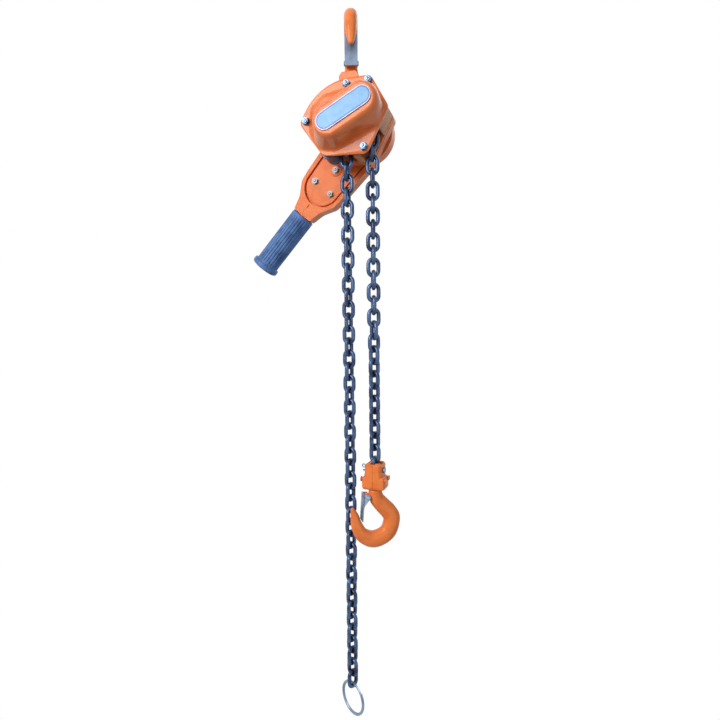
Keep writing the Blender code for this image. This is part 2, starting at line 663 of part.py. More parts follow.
def make_stays():
    nut_end = FLANGE_FACE - GAP - NUT_HEIGHT - 1.6 * mm
    for name, point in (("stay_bolt_right", RIGHT_BOLT), ("stay_bolt_left", LEFT_BOLT)):
        x, z = about_shaft(point)
        stay_in = PLATE_IN - GAP
        profile = ((0.0, PLATE_OUT + 3.2 * mm), (STAY_RADIUS, PLATE_OUT + 3.2 * mm),
                   (STAY_RADIUS, PLATE_OUT + GAP), (BOLT_RADIUS, PLATE_OUT + GAP),
                   (BOLT_RADIUS, stay_in), (STAY_RADIUS, stay_in), (STAY_RADIUS, -stay_in),
                   (BOLT_RADIUS, -stay_in), (BOLT_RADIUS, nut_end), (0.0, nut_end))
        piece(name, turned(profile, (x, 0.0, z), (0, 1, 0), 16), "zinc_steel", "frame")
    profile = ((0.0, PLATE_OUT + 3.2 * mm), (8.0 * mm, PLATE_OUT + 3.2 * mm),
               (8.0 * mm, PLATE_OUT + GAP), (TOP_PIN_RADIUS, PLATE_OUT + GAP),
               (TOP_PIN_RADIUS, -PLATE_OUT), (BOLT_RADIUS, -PLATE_OUT), (BOLT_RADIUS, nut_end),
               (0.0, nut_end))
    piece("top_pin", turned(profile, (0.0, 0.0, TOP_PIN_Z), (0, 1, 0), 16), "zinc_steel", "frame")
    x, z = about_shaft(BOTTOM_BOLT)
    profile = ((0.0, -PLATE_IN + 1.6 * mm), (5.0 * mm, -PLATE_IN + 1.6 * mm),
               (5.0 * mm, -PLATE_IN + GAP), (BOLT_RADIUS, -PLATE_IN + GAP),
               (BOLT_RADIUS, nut_end), (0.0, nut_end))
    piece("cover_stud_bottom", turned(profile, (x, 0.0, z), (0, 1, 0), 16), "zinc_steel", "frame")
    top = (-SHAFT_X, TOP_PIN_Z - SHAFT_Z)
    for name, point in (("cover_nut_top", top), ("cover_nut_right", RIGHT_BOLT),
                        ("cover_nut_left", LEFT_BOLT), ("cover_nut_bottom", BOTTOM_BOLT)):
        nut = plate([circle(NUT_RADIUS, *point, steps=6), circle(BOLT_RADIUS + GAP, *point, steps=12)],
                    FLANGE_FACE - GAP - NUT_HEIGHT, FLANGE_FACE - GAP)
        piece(name, nut, "zinc_steel", "frame")


def make_guides():
    x, z = about_shaft(STRIPPER_PIN)
    half = 5.4 * mm
    bottom = z - 8.5 * mm
    top = SHAFT_Z - SHEAVE_FLANGE_RADIUS - 1.2 * mm
    stripper = box((x - half, -PLATE_IN + GAP, bottom), (x + half, PLATE_IN - GAP, top))
    stripper = bevelled(stripper, 1.5 * mm)
    stripper = cut(stripper, y_rod(x, z, -PLATE_IN, PLATE_IN, 3.0 * mm + GAP, 12))
    piece("chain_stripper", stripper, "chain_steel", "frame")
    piece("stripper_pin", y_rod(x, z, -PLATE_OUT, PLATE_OUT, 3.0 * mm, 16), "zinc_steel", "frame")
    x, z = about_shaft(ROLLER)
    piece("guide_roller_pin", y_rod(x, z, -PLATE_OUT, PLATE_OUT, 3.0 * mm, 16), "zinc_steel", "frame")
    edge = PLATE_IN - 0.5 * mm
    waist = 9.0 * mm
    profile = ((ROLLER_RADIUS, edge), (ROLLER_RADIUS, waist), (ROLLER_RADIUS - 1.5 * mm, waist - 1 * mm),
               (ROLLER_RADIUS - 1.5 * mm, 1 * mm - waist), (ROLLER_RADIUS, -waist),
               (ROLLER_RADIUS, -edge), (3.0 * mm + GAP, -edge), (3.0 * mm + GAP, edge))
    piece("guide_roller", turned(profile, (x, 0.0, z), (0, 1, 0), 20), "chain_steel", "roller")
    path = ((34.5, 40.0), (49.2, 12.5), (49.0, 8.0), (37.9, -14.5))
    outer = [(px * mm, pz * mm) for px, pz in path]
    inner = [(px * mm - 2.0 * mm, pz * mm - 0.4 * mm) for px, pz in path]
    guard = plate([outer + inner[::-1]], -PLATE_IN + GAP, PLATE_IN - GAP)
    piece("side_guard", guard, "orange_paint", "frame")


def radius_at(outline, centre, angle):
    """Distance from the centre to a closed outline in one direction."""
    direction = Vector((math.cos(angle), math.sin(angle)))
    best = 0.0
    for i, point in enumerate(outline):
        a = Vector(outline[i - 1]) - centre
        edge = Vector(point) - centre - a
        det = direction.x * edge.y - direction.y * edge.x
        if abs(det) < 1e-12:
            continue
        far = (a.x * edge.y - a.y * edge.x) / det
        share = (a.x * direction.y - a.y * direction.x) / det
        if -1e-9 <= share <= 1 + 1e-9:
            best = max(best, far)
    return best


COVER_POINTS = 36


def cover_rings():
    """Outside of the gear cover from the flange's edge to its front face: (outline, y)."""
    foot = [(x * mm, z * mm, radius * mm) for x, z, radius in HOUSING_CORNERS]
    shoulder_y = COVER_FACE + 8.0 * mm
    return ((body_outline(), FLANGE_FACE), (rounded(foot), FLANGE_FACE),
            (rounded(foot), FLANGE_FACE - 2.0 * mm),
            (stadium(*BOSS_SHOULDER, BOSS_ANGLE, BOSS_CENTRE), shoulder_y),
            (stadium(BOSS_TOP[0] + 2.2 * mm, BOSS_TOP[1] + 2.4 * mm, BOSS_ANGLE, BOSS_CENTRE),
             COVER_FACE + 2.6 * mm),
            (stadium(*BOSS_TOP, BOSS_ANGLE, BOSS_CENTRE), COVER_FACE))


def make_gear_cover():
    centre = Vector((-4.0 * mm, 1.0 * mm))
    bm = bmesh.new()
    loops = []
    for depth, (outline, y) in enumerate(cover_rings()):
        loop = []
        for i in range(COVER_POINTS):
            angle = 2 * math.pi * i / COVER_POINTS
            far = radius_at(outline, centre, angle)
            if depth in (1, 2):
                far -= 0.0 if depth == 1 else 1.2 * mm
            x = SHAFT_X + centre.x + far * math.cos(angle)
            z = SHAFT_Z + centre.y + far * math.sin(angle)
            loop.append(bm.verts.new((x, y, z)))
        loops.append(loop)
    for lower, upper in zip(loops, loops[1:]):
        for i in range(COVER_POINTS):
            j = (i + 1) % COVER_POINTS
            bm.faces.new((lower[i], lower[j], upper[j], upper[i]))
    bm.faces.new(loops[-1])
    bmesh.ops.recalc_face_normals(bm, faces=bm.faces)
    if bm.faces[-1].normal.y > 0:
        bmesh.ops.reverse_faces(bm, faces=bm.faces)
    mesh = bpy.data.meshes.new("cover")
    bm.to_mesh(mesh)
    bm.free()
    obj = bpy.data.objects.new("cover", mesh)
    solidify = obj.modifiers.new("solidify", "SOLIDIFY")
    solidify.thickness = COVER_WALL
    solidify.offset = -1.0
    cover = evaluated_mesh(obj)
    top = (-SHAFT_X, TOP_PIN_Z - SHAFT_Z)
    for point in (top, RIGHT_BOLT, LEFT_BOLT, BOTTOM_BOLT):
        x, z = about_shaft(point)
        cover = cut(cover, y_rod(x, z, FLANGE_FACE - 1 * mm, -PLATE_OUT, BOLT_RADIUS + GAP, 12))
    piece("gear_cover", cover, "orange_paint", "frame")
    outline = stadium(NAME_PLATE[0], NAME_PLATE[1], BOSS_ANGLE, BOSS_CENTRE, 12)
    name_plate = plate([outline], COVER_FACE - GAP - NAME_PLATE[2], COVER_FACE - GAP)
    piece("name_plate", name_plate, "plate_blue", "frame")


def make_brake_cover():
    outer = plate([body_outline(PLATE_INSET)], PLATE_OUT + GAP, BRAKE_FACE)
    outer = bevelled(outer, 3.0 * mm, 2, 50.0)
    inner = plate([body_outline(PLATE_INSET + BRAKE_WALL)], PLATE_OUT - 4 * mm, BRAKE_FACE - BRAKE_WALL)
    opening = y_rod(SHAFT_X, SHAFT_Z, BRAKE_FACE - 2 * BRAKE_WALL, BRAKE_FACE + 1 * mm,
                    CHANGE_HUB_RADIUS + 1.0 * mm, 20)
    trim = box((-0.2, PLATE_OUT - 6 * mm, -0.3), (0.2, PLATE_OUT + GAP + 1.6 * mm, 0.0))
    cover = cut(outer, inner, opening, trim)
    top = (-SHAFT_X, TOP_PIN_Z - SHAFT_Z)
    for point, radius in ((top, 8.0 * mm), (RIGHT_BOLT, STAY_RADIUS), (LEFT_BOLT, STAY_RADIUS)):
        x, z = about_shaft(point)
        cover = cut(cover, y_rod(x, z, PLATE_OUT - 1 * mm, PLATE_OUT + 3.8 * mm, radius + 0.5 * mm))
    piece("brake_cover", cover, "orange_paint", "frame")


# --- brake --------------------------------------------------------------------------------------
def pawl_pivot(notch):
    angle = notch + PAWL_PIVOT_LEAD
    return about_shaft((PAWL_PIVOT_RADIUS * math.cos(angle), PAWL_PIVOT_RADIUS * math.sin(angle)))


def ratchet_outline():
    outline = []
    for k in range(RATCHET_TEETH):
        angle = 2 * math.pi * k / RATCHET_TEETH
        for radius in (RATCHET_TIP, RATCHET_ROOT):
            outline.append((radius * math.cos(angle), radius * math.sin(angle)))
    return outline


def pawl_mesh(notch):
    """Boss on the post and an arm whose tip stands in a tooth gap."""
    def polar(radius, lead_deg):
        angle = notch + math.radians(lead_deg)
        return Vector((radius * math.cos(angle), radius * math.sin(angle)))
    pivot = polar(PAWL_PIVOT_RADIUS, math.degrees(PAWL_PIVOT_LEAD))
    face, top = polar(RATCHET_ROOT + 0.9 * mm, 0.9), polar(RATCHET_TIP + 2.2 * mm, 0.9)
    heel = polar(RATCHET_ROOT + 3.4 * mm, 9.0)
    reach = (pivot - face).normalized()
    side = Vector((-reach.y, reach.x)) * 4.6 * mm
    inward = side if side.dot(pivot) < 0 else -side
    arm = [tuple(face), tuple(heel), tuple(pivot + inward), tuple(pivot - inward), tuple(top)]
    low, high = RATCHET_Y[0] + GAP, RATCHET_Y[1] - GAP
    pawl = join(plate([circle(5.5 * mm, *pivot)], low, high), plate([arm], low + GAP, high - GAP))
    return cut(pawl, plate([circle(POST_RADIUS + GAP, *pivot, steps=12)], low - 1 * mm, high + 1 * mm))


def make_brake():
    hub = ((21.0 * mm, HUB_FLANGE_Y[1]), (21.0 * mm, HUB_FLANGE_Y[0]), (SHAFT_BORE, HUB_FLANGE_Y[0]),
           (SHAFT_BORE, OUTER_DISC_Y[1]), (9.5 * mm, OUTER_DISC_Y[1]), (9.5 * mm, HUB_FLANGE_Y[1]))
    piece("disc_hub", on_shaft(hub), "machined_steel", "drive")
    for name, span in (("friction_disc_inner", INNER_DISC_Y), ("friction_disc_outer", OUTER_DISC_Y)):
        disc = on_shaft(ring_profile(DISC_RADIUS, 9.5 * mm + GAP, *span))
        piece(name, disc, "friction_lining", "ratchet")
    ratchet = plate([ratchet_outline(), circle(9.5 * mm + GAP)], *RATCHET_Y)
    piece("ratchet_disc", ratchet, "machined_steel", "ratchet")
    for name, body_name, notch in (("brake_pawl_left", "pawl_left", PAWL_NOTCHES[0]),
                                   ("brake_pawl_right", "pawl_right", PAWL_NOTCHES[1])):
        piece(name, pawl_mesh(notch), "machined_steel", body_name)
    flange = on_shaft(((DISC_RADIUS, CHANGE_FLANGE_Y[1]), (DISC_RADIUS, CHANGE_FLANGE_Y[0]),
                       (SHAFT_BORE, CHANGE_FLANGE_Y[0]), (SHAFT_BORE, CHANGE_GEAR_Y[1]),
                       (CHANGE_HUB_RADIUS, CHANGE_GEAR_Y[1]), (CHANGE_HUB_RADIUS, CHANGE_FLANGE_Y[1])))
    teeth = []
    for k in range(CHANGE_TEETH):
        middle = 2 * math.pi * k / CHANGE_TEETH
        for radius, lead in ((18.0, -9.0), (22.5, -4.5), (22.5, 4.5), (18.0, 9.0)):
            angle = middle + math.radians(lead)
            teeth.append((radius * mm * math.cos(angle), radius * mm * math.sin(angle)))
    gear = plate([teeth, circle(CHANGE_HUB_RADIUS - 1 * mm)], CHANGE_GEAR_Y[0], CHANGE_GEAR_Y[1] - 1 * mm)
    piece("change_gear", join(flange, gear), "machined_steel", "drive")


# --- lever --------------------------------------------------------------------------------------
ALONG = Vector((-math.sin(LEVER_ANGLE), -math.cos(LEVER_ANGLE)))
ACROSS = Vector((math.cos(LEVER_ANGLE), -math.sin(LEVER_ANGLE)))


def on_lever(along, across):
    return tuple(ALONG * along + ACROSS * across)


def lever_outline(inset=0.0):
    """Round head about the shaft, broad shoulders and a neck that narrows to the stem."""
    head = LEVER_HEAD - inset
    right = [(LEVER_SHOULDER[0], LEVER_SHOULDER[1] - inset), (LEVER_WAIST[0], LEVER_WAIST[1] - inset),
             (LEVER_WAIST[0] + 13 * mm, LEVER_WAIST[1] - 7 * mm - inset),
             (LEVER_NECK[0] - 14 * mm, LEVER_NECK[1] + 2 * mm - inset),
             (LEVER_NECK[0] - inset, LEVER_NECK[1] - inset)]
    steps = 11
    opening = math.radians(72.0)
    outline = []
    for k in range(steps + 1):
        turn = opening + (2 * math.pi - 2 * opening) * k / steps
        outline.append(on_lever(head * math.cos(turn), -head * math.sin(turn)))
    outline += [on_lever(along, across) for along, across in right]
    outline += [on_lever(along, -across) for along, across in reversed(right)]
    return outline


def make_lever():
    bolts = [circle(2.5 * mm + GAP, *on_lever(*place), steps=12) for place in LEVER_BOLTS]
    opening = circle(CHANGE_HUB_RADIUS + 2 * GAP, steps=24)
    outline = lever_outline()
    inner = plate([outline, opening, *bolts], LEVER_INNER, LEVER_SPLIT)
    hollow = plate([lever_outline(LEVER_WALL)], LEVER_INNER + LEVER_WALL, LEVER_SPLIT + 1 * mm)
    bosses = []
    for along, across in LEVER_BOLTS:
        x, z = about_shaft(on_lever(along, across))
        tube = ring_profile(6.0 * mm, 2.5 * mm + GAP, LEVER_INNER + LEVER_WALL / 2, LEVER_SPLIT)
        bosses.append(turned(tube, (x, 0.0, z), (0, 1, 0), 12))
    piece("lever_inner_case", join(cut(inner, hollow), *bosses), "orange_paint", "lever")
    split = LEVER_SPLIT + GAP
    knob_hole = circle(4.0 * mm + GAP, *on_lever(SELECTOR_ALONG, 0.0), steps=12)
    outer = plate([outline, opening, knob_hole, *bolts], split, LEVER_OUTER)
    hollow = plate([lever_outline(LEVER_WALL)], split - 1 * mm, LEVER_OUTER - LEVER_WALL)
    middle = (LEVER_INNER + LEVER_OUTER) / 2
    start = about_shaft(on_lever(LEVER_NECK[0] - 4 * mm, 0.0))
    end = about_shaft(on_lever(GRIP_END - 12 * mm, 0.0))
    stem = rod((start[0], middle, start[1]), (end[0], middle, end[1]), STEM_RADIUS, 20)
    clearance = plate([lever_outline(-1 * mm)], LEVER_INNER - 5 * mm, split)
    stem = cut(stem, clearance)
    outer = join(cut(outer, hollow), stem)
    piece("lever_outer_case", outer, "orange_paint", "lever")
    neck = about_shaft(on_lever(GRIP_START, 0.0))
    bore = STEM_RADIUS + GAP
    length = GRIP_END - GRIP_START
    flange_radius, flange_length = GRIP_FLANGE
    profile = ((0.0, length), (flange_radius - 1.5 * mm, length), (flange_radius, length - 1.5 * mm),
               (flange_radius, length - flange_length), (GRIP_RADIUS, length - flange_length - 2 * mm),
               (GRIP_RADIUS, 0.0), (bore, 0.0), (bore, length - 11.5 * mm), (0.0, length - 11.5 * mm))
    direction = (ALONG.x, 0.0, ALONG.y)
    grip = turned(profile, (neck[0], middle, neck[1]), direction, 24)
    piece("lever_grip", grip, "dark_rubber", "lever")
    for name, place in zip(("lever_bolt_right", "lever_bolt_left", "lever_bolt_head"), LEVER_BOLTS):
        x, z = about_shaft(on_lever(*place))
        profile = ((0.0, LEVER_OUTER + 3.4 * mm), (5.0 * mm, LEVER_OUTER + 3.4 * mm),
                   (5.0 * mm, LEVER_OUTER + GAP), (2.5 * mm, LEVER_OUTER + GAP),
                   (2.5 * mm, LEVER_INNER - GAP), (5.2 * mm, LEVER_INNER - GAP),
                   (5.2 * mm, LEVER_INNER - 2.4 * mm), (4.0 * mm, LEVER_INNER - 3.8 * mm),
                   (0.0, LEVER_INNER - 3.8 * mm))
        piece(name, turned(profile, (x, 0.0, z), (0, 1, 0), 12), "zinc_steel", "lever")


def make_selector():
    x, z = about_shaft(on_lever(SELECTOR_ALONG, 0.0))
    knob = turned(((0.0, LEVER_OUTER + 12 * mm), (7.0 * mm, LEVER_OUTER + 12 * mm),
                   (8.5 * mm, LEVER_OUTER + 10 * mm), (8.5 * mm, LEVER_OUTER + GAP),
                   (4.0 * mm, LEVER_OUTER + GAP), (4.0 * mm, CHANGE_GEAR_Y[0]),
                   (0.0, CHANGE_GEAR_Y[0])), (x, 0.0, z), (0, 1, 0), 20)
    near, far = 8.0 * mm, 8.5 * mm
    tip = plate([[on_lever(SELECTOR_ALONG - 3.5 * mm, -far), on_lever(SELECTOR_ALONG - 3.5 * mm, far),
                  on_lever(SELECTOR_ALONG + 20 * mm, 4.0 * mm),
                  on_lever(SELECTOR_ALONG + 20 * mm, -4.0 * mm)]],
                LEVER_OUTER + 2 * mm, LEVER_OUTER + near)
    piece("selector_knob", join(knob, tip), "machined_steel", "selector")
    nose_along = SELECTOR_ALONG - 12.5 * mm
    rocker = [on_lever(nose_along + 0.8 * mm, -9.5 * mm), on_lever(nose_along + 3.2 * mm, 0.0),
              on_lever(nose_along + 0.8 * mm, 9.5 * mm), on_lever(SELECTOR_ALONG - 2 * mm, 8.0 * mm),
              on_lever(SELECTOR_ALONG + 7.5 * mm, 3.0 * mm),
              on_lever(SELECTOR_ALONG + 7.5 * mm, -3.0 * mm), on_lever(SELECTOR_ALONG - 2 * mm, -8.0 * mm)]
    hole = circle(4.0 * mm + GAP, *on_lever(SELECTOR_ALONG, 0.0), steps=12)
    pawl = plate([rocker, hole], CHANGE_GEAR_Y[0], CHANGE_GEAR_Y[1] - 1 * mm)
    piece("selector_pawl", pawl, "machined_steel", "selector")


def make_hand_wheel():
    outline = []
    steps = WHEEL_LOBES * 4
    for k in range(steps):
        angle = 2 * math.pi * k / steps
        radius = WHEEL_RADIUS - 1.6 * mm * (1 - math.cos(angle * WHEEL_LOBES)) / 2
        outline.append((radius * math.cos(angle), radius * math.sin(angle)))
    rim = bevelled(plate([outline], *WHEEL_Y), 1.2 * mm, 1, 60.0)
    hub = y_rod(SHAFT_X, SHAFT_Z, CHANGE_GEAR_Y[1] + GAP, WHEEL_Y[0] + 1 * mm, 12.0 * mm, 20)
    bore = y_rod(SHAFT_X, SHAFT_Z, 0.0, SHAFT_END, SHAFT_BORE, 20)
    piece("hand_wheel", cut(join(rim, hub), bore), "orange_paint", "wheel")
    nut_y = WHEEL_Y[1] + WHEEL_PULL + GAP
    nut = plate([circle(9.0 * mm, steps=6), circle(SHAFT_BORE, steps=20)], nut_y, nut_y + 6.0 * mm)
    piece("shaft_nut", nut, "zinc_steel", "drive")


# --- hooks --------------------------------------------------------------------------------------
def spline_point(stations, i, share):
    """Catmull-Rom through the stations."""
    count = len(stations)
    a, b, c, d = (Vector(stations[min(max(i + k, 0), count - 1)]) for k in (-1, 0, 1, 2))
    return 0.5 * ((2 * b) + (c - a) * share + (2 * a - 5 * b + 4 * c - d) * share ** 2
                  + (3 * b - a - 3 * c + d) * share ** 3)


def hook_sections():
    """(across, up, tangent, half width, half thickness) from the head of the shank to the tip."""
    down = Vector((0.0, -1.0))
    sections = [(Vector((0.0, height)), down, radius, radius)
                for height, radius in ((HEAD_TOP, HEAD_RADIUS), (HEAD_FOOT, HEAD_RADIUS),
                                       (HEAD_FOOT, SHANK_RADIUS), (SHANK_FOOT, SHANK_RADIUS),
                                       (SHANK_FOOT, 9.6 * mm))]
    path = []
    for i in range(len(HOOK_STATIONS) - 1):
        for k in range(HOOK_STEPS):
            path.append(spline_point(HOOK_STATIONS, i, k / HOOK_STEPS) * mm)
    path.append(Vector(HOOK_STATIONS[-1]) * mm)
    for i, point in enumerate(path):
        before, after = path[max(i - 1, 0)], path[min(i + 1, len(path) - 1)]
        tangent = Vector((after[0] - before[0], after[1] - before[1])).normalized()
        sections.append((Vector((point[0], point[1])), tangent, point[2], point[3]))
    tip = sections[-1]
    sections.append((tip[0] + tip[1] * 1.8 * mm, tip[1], tip[2] * 0.5, tip[3] * 0.5))
    return sections


def hook_mesh(placed):
    """Forged hook in its own plane: X across, Z up from the saddle to the shank."""
    bm = bmesh.new()
    loops = []
    for centre, tangent, half_width, half_thickness in hook_sections():
        side = Vector((-tangent.y, tangent.x))
        loop = []
        for i in range(HOOK_RING):
            angle = 2 * math.pi * i / HOOK_RING
            across = side * math.cos(angle) * half_width
            point = (centre.x + across.x, math.sin(angle) * half_thickness, centre.y + across.y)
            loop.append(bm.verts.new(point))
        loops.append(loop)
    for lower, upper in zip(loops, loops[1:]):
        for i in range(HOOK_RING):
            j = (i + 1) % HOOK_RING
            bm.faces.new((lower[i], lower[j], upper[j], upper[i]))
    bm.faces.new(loops[0])
    bm.faces.new(loops[-1])
    mesh = mesh_of(bm)
    x, z = LATCH_PIVOT
    lug_half = LATCH_WIDTH / 2 - LATCH_SHEET - GAP
    lug = join(rod((x, -lug_half, z), (x, lug_half, z), 4.2 * mm, 12),
               box((x, -lug_half, z - 4.2 * mm), (x + 8 * mm, lug_half, z + 4.2 * mm)))
    pin_half = LATCH_WIDTH / 2 + 1.6 * mm
    pin = rod((x, -pin_half, z), (x, pin_half, z), LATCH_PIN_RADIUS, 12)
    mesh = join(mesh, lug, pin)
    mesh.transform(placed)
    return mesh


def latch_mesh(placed):
    """Sheet-metal gate: a strip from above the pivot to the hook's tip, with two ears."""
    end, top = Vector(LATCH_END), Vector(LATCH_TOP)
    half = LATCH_WIDTH / 2
    strip_height = (top - end).length
    lean = math.atan2(top.x - end.x, top.y - end.y)
    strip_place = Matrix.Translation((end.x, 0.0, end.y)) @ Matrix.Rotation(lean, 4, "Y")
    strip = box((0.0, -half, 0.0), (LATCH_SHEET, half, strip_height), strip_place)
    x, z = LATCH_PIVOT
    ears = []
    for side in (1, -1):
        outline = [(LATCH_TOP[0] + 0.6 * mm, LATCH_TOP[1]), (x + 3.0 * mm, z + 3.5 * mm),
                   (x + 3.6 * mm, z - 2.0 * mm), (x - 1.0 * mm, z - 6.0 * mm),
                   (LATCH_END[0] + 1.4 * mm, z - 22.0 * mm)]
        inside = half - LATCH_SHEET
        low, high = (inside, half) if side == 1 else (-half, -inside)
        ears.append(plate([outline], low, high, origin=(0.0, 0.0)))
    latch = join(strip, *ears)
    latch = cut(latch, rod((x, -half - 1 * mm, z), (x, half + 1 * mm, z), LATCH_PIN_RADIUS + GAP, 12))
    latch.transform(placed)
    return latch


TOP_HOOK_PLACE = (Matrix.Rotation(math.radians(90.0) + TOP_HOOK_TURN, 4, "Z")
                  @ Matrix.Rotation(math.pi, 4, "X"))
LOAD_HOOK_PLACE = Matrix.Translation(LOAD_SADDLE) @ Matrix.Rotation(LOAD_HOOK_TURN, 4, "Z")


def make_hooks():
    piece("top_hook", hook_mesh(TOP_HOOK_PLACE), "orange_paint", "support")
    piece("top_latch", latch_mesh(TOP_HOOK_PLACE), "zinc_steel", "top_latch")
    piece("load_hook", hook_mesh(LOAD_HOOK_PLACE), "orange_paint", "load_hook")
    piece("load_latch", latch_mesh(LOAD_HOOK_PLACE), "zinc_steel", "load_latch")


# --- yokes --------------------------------------------------------------------------------------
def head_space():
    """The room round a hook's shank and head, in the hook's own upright frame."""
    floor = SHANK_FOOT + YOKE_FLOOR
    hole = rod((0, 0, SHANK_FOOT - 2 * mm), (0, 0, HEAD_TOP), SHANK_RADIUS + GAP, 20)
    room = rod((0, 0, floor), (0, 0, HEAD_TOP + GAP), HEAD_RADIUS + GAP, 24)
    return join(hole, room)


def make_load_yoke():
    """Two forged halves that clamp the last link on its pin and the head of the hook."""
    low = SHANK_FOOT + GAP
    pin_height = CHAIN_PIN_Z - LOAD_SADDLE.z
    ear_top = pin_height + 11.0 * mm
    shoulder = low + 20.0 * mm
    body_block = bevelled(box((-YOKE_HALF_WIDTH, -YOKE_DEPTH / 2, low),
                              (YOKE_HALF_WIDTH, YOKE_DEPTH / 2, shoulder)), 4.5 * mm, 2)
    ears = bevelled(box((-EAR_HALF_WIDTH, -EAR_DEPTH / 2, low + 4 * mm),
                        (EAR_HALF_WIDTH, EAR_DEPTH / 2, ear_top)), 3.0 * mm)
    block = join(body_block, ears)
    slot_half = STAND_IN_WIRE / 2 + GAP
    link_foot = pin_height - WIRE / 2 - WIRE
    slot = box((-slot_half, -POCKET_HALF, link_foot - 2.0 * mm), (slot_half, POCKET_HALF, 0.2))
    crown_foot = LOAD_JOINTS[-2].z - LOAD_SADDLE.z - STAND_IN_WIRE / 2 - 4.6 * mm
    notch = box((-LINK_WIDTH / 2 - 1 * mm, -6 * mm, crown_foot), (LINK_WIDTH / 2 + 1 * mm, 6 * mm, 0.2))
    pin = rod((-0.03, 0, pin_height), (0.03, 0, pin_height), CHAIN_PIN_RADIUS + GAP, 12)
    block = cut(block, head_space(), slot, notch, pin)
    bolt_height = (HEAD_TOP + link_foot) / 2 + 0.2 * mm
    for side in (1, -1):
        y = side * 8.6 * mm
        block = cut(block, rod((-0.03, y, bolt_height), (0.03, y, bolt_height), YOKE_BOLT_RADIUS + GAP, 12))
    placed = Matrix.Translation(LOAD_SADDLE) @ Matrix.Rotation(PIN_TURN, 4, "Z")
    for name, side in (("hook_yoke_right", 1), ("hook_yoke_left", -1)):
        half = cut(block.copy(), box((-0.05, -0.05, 0.0), (GAP / 2, 0.05, 0.2),
                                     Matrix.Rotation(0.0 if side == 1 else math.pi, 4, "Z")))
        half.transform(placed)
        piece(name, half, "orange_paint", "hook_yoke")
    for name, side in (("yoke_bolt_front", -1), ("yoke_bolt_back", 1)):
        y = side * 8.6 * mm
        head = YOKE_HALF_WIDTH + GAP
        profile = ((0.0, head + 1.3 * mm), (3.8 * mm, head + 1.3 * mm), (3.8 * mm, head),
                   (YOKE_BOLT_RADIUS, head), (YOKE_BOLT_RADIUS, -head), (3.8 * mm, -head),
                   (3.8 * mm, -head - 1.3 * mm), (0.0, -head - 1.3 * mm))
        bolt = turned(profile, (0.0, y, bolt_height), (1, 0, 0), 12)
        bolt.transform(placed)
        piece(name, bolt, "orange_paint", "hook_yoke")
    reach = EAR_HALF_WIDTH + 3.0 * mm
    pin = turned(((0.0, reach), (4.4 * mm, reach), (4.4 * mm, EAR_HALF_WIDTH + GAP),
                  (CHAIN_PIN_RADIUS, EAR_HALF_WIDTH + GAP), (CHAIN_PIN_RADIUS, -reach - 3 * mm),
                  (0.0, -reach - 3 * mm)), (0, 0, pin_height), (1, 0, 0), 12)
    cotter_x = -EAR_HALF_WIDTH - 2.6 * mm
    pin = cut(pin, rod((cotter_x, 0, pin_height - 6 * mm), (cotter_x, 0, pin_height + 6 * mm), 1.3 * mm, 10))
    pin.transform(placed)
    piece("chain_pin", pin, "zinc_steel", "hook_yoke")
    loop = [(cotter_x, 0.0, pin_height + dz * mm) for dz in (-6.0, 4.0)]
    loop += [(cotter_x - dx * mm, 0.0, pin_height + dz * mm)
             for dx, dz in ((0.8, 6.0), (2.6, 7.2), (4.4, 6.2), (4.8, 4.2), (3.6, 2.8))]
    cotter = wire(loop, 0.9 * mm, 1)
    cotter.transform(placed)
    piece("cotter_pin", cotter, "zinc_steel", "hook_yoke")


def make_top_yoke():
    """Two halves between the side plates, on the top pin; the top hook's head turns in them."""
    low = SHANK_FOOT + GAP
    pin_height = -TOP_PIN_Z
    shoulders = plate([rounded(((TOP_YOKE_HALF_WIDTH, -low - 6 * mm, 5 * mm),
                                (TOP_YOKE_HALF_WIDTH - 4 * mm, -low, 4 * mm),
                                (-TOP_YOKE_HALF_WIDTH + 4 * mm, -low, 4 * mm),
                                (-TOP_YOKE_HALF_WIDTH, -low - 6 * mm, 5 * mm),
                                (-8.6 * mm, -pin_height - 8.6 * mm, 8 * mm),
                                (8.6 * mm, -pin_height - 8.6 * mm, 8 * mm)))],
                      -TOP_YOKE_DEPTH / 2, TOP_YOKE_DEPTH / 2, origin=(0.0, 0.0))
    room = head_space()
    room.transform(Matrix.Rotation(math.pi, 4, "X"))
    pin = y_rod(0.0, TOP_PIN_Z, -0.03, 0.03, TOP_PIN_RADIUS + GAP, 12)
    block = cut(shoulders, room, pin)
    for name, turn in (("top_yoke_front", 0.0), ("top_yoke_back", math.pi)):
        away = box((-0.05, -GAP / 2, -0.2), (0.05, 0.05, 0.0), Matrix.Rotation(turn, 4, "Z"))
        piece(name, cut(block.copy(), away), "orange_paint", "top_yoke")


def make_end_ring():
    centre = RING_TOP - Vector((0.0, 0.0, RING_RADIUS))
    across = Vector((math.cos(RING_TURN), math.sin(RING_TURN), 0.0))
    points = []
    for k in range(28):
        angle = 2 * math.pi * k / 28
        points.append(centre + RING_RADIUS * (math.cos(angle) * across
                                              + math.sin(angle) * Vector((0, 0, 1))))
    piece("end_ring", wire(points, RING_WIRE / 2, 1, closed=True), "zinc_steel", "end_ring")


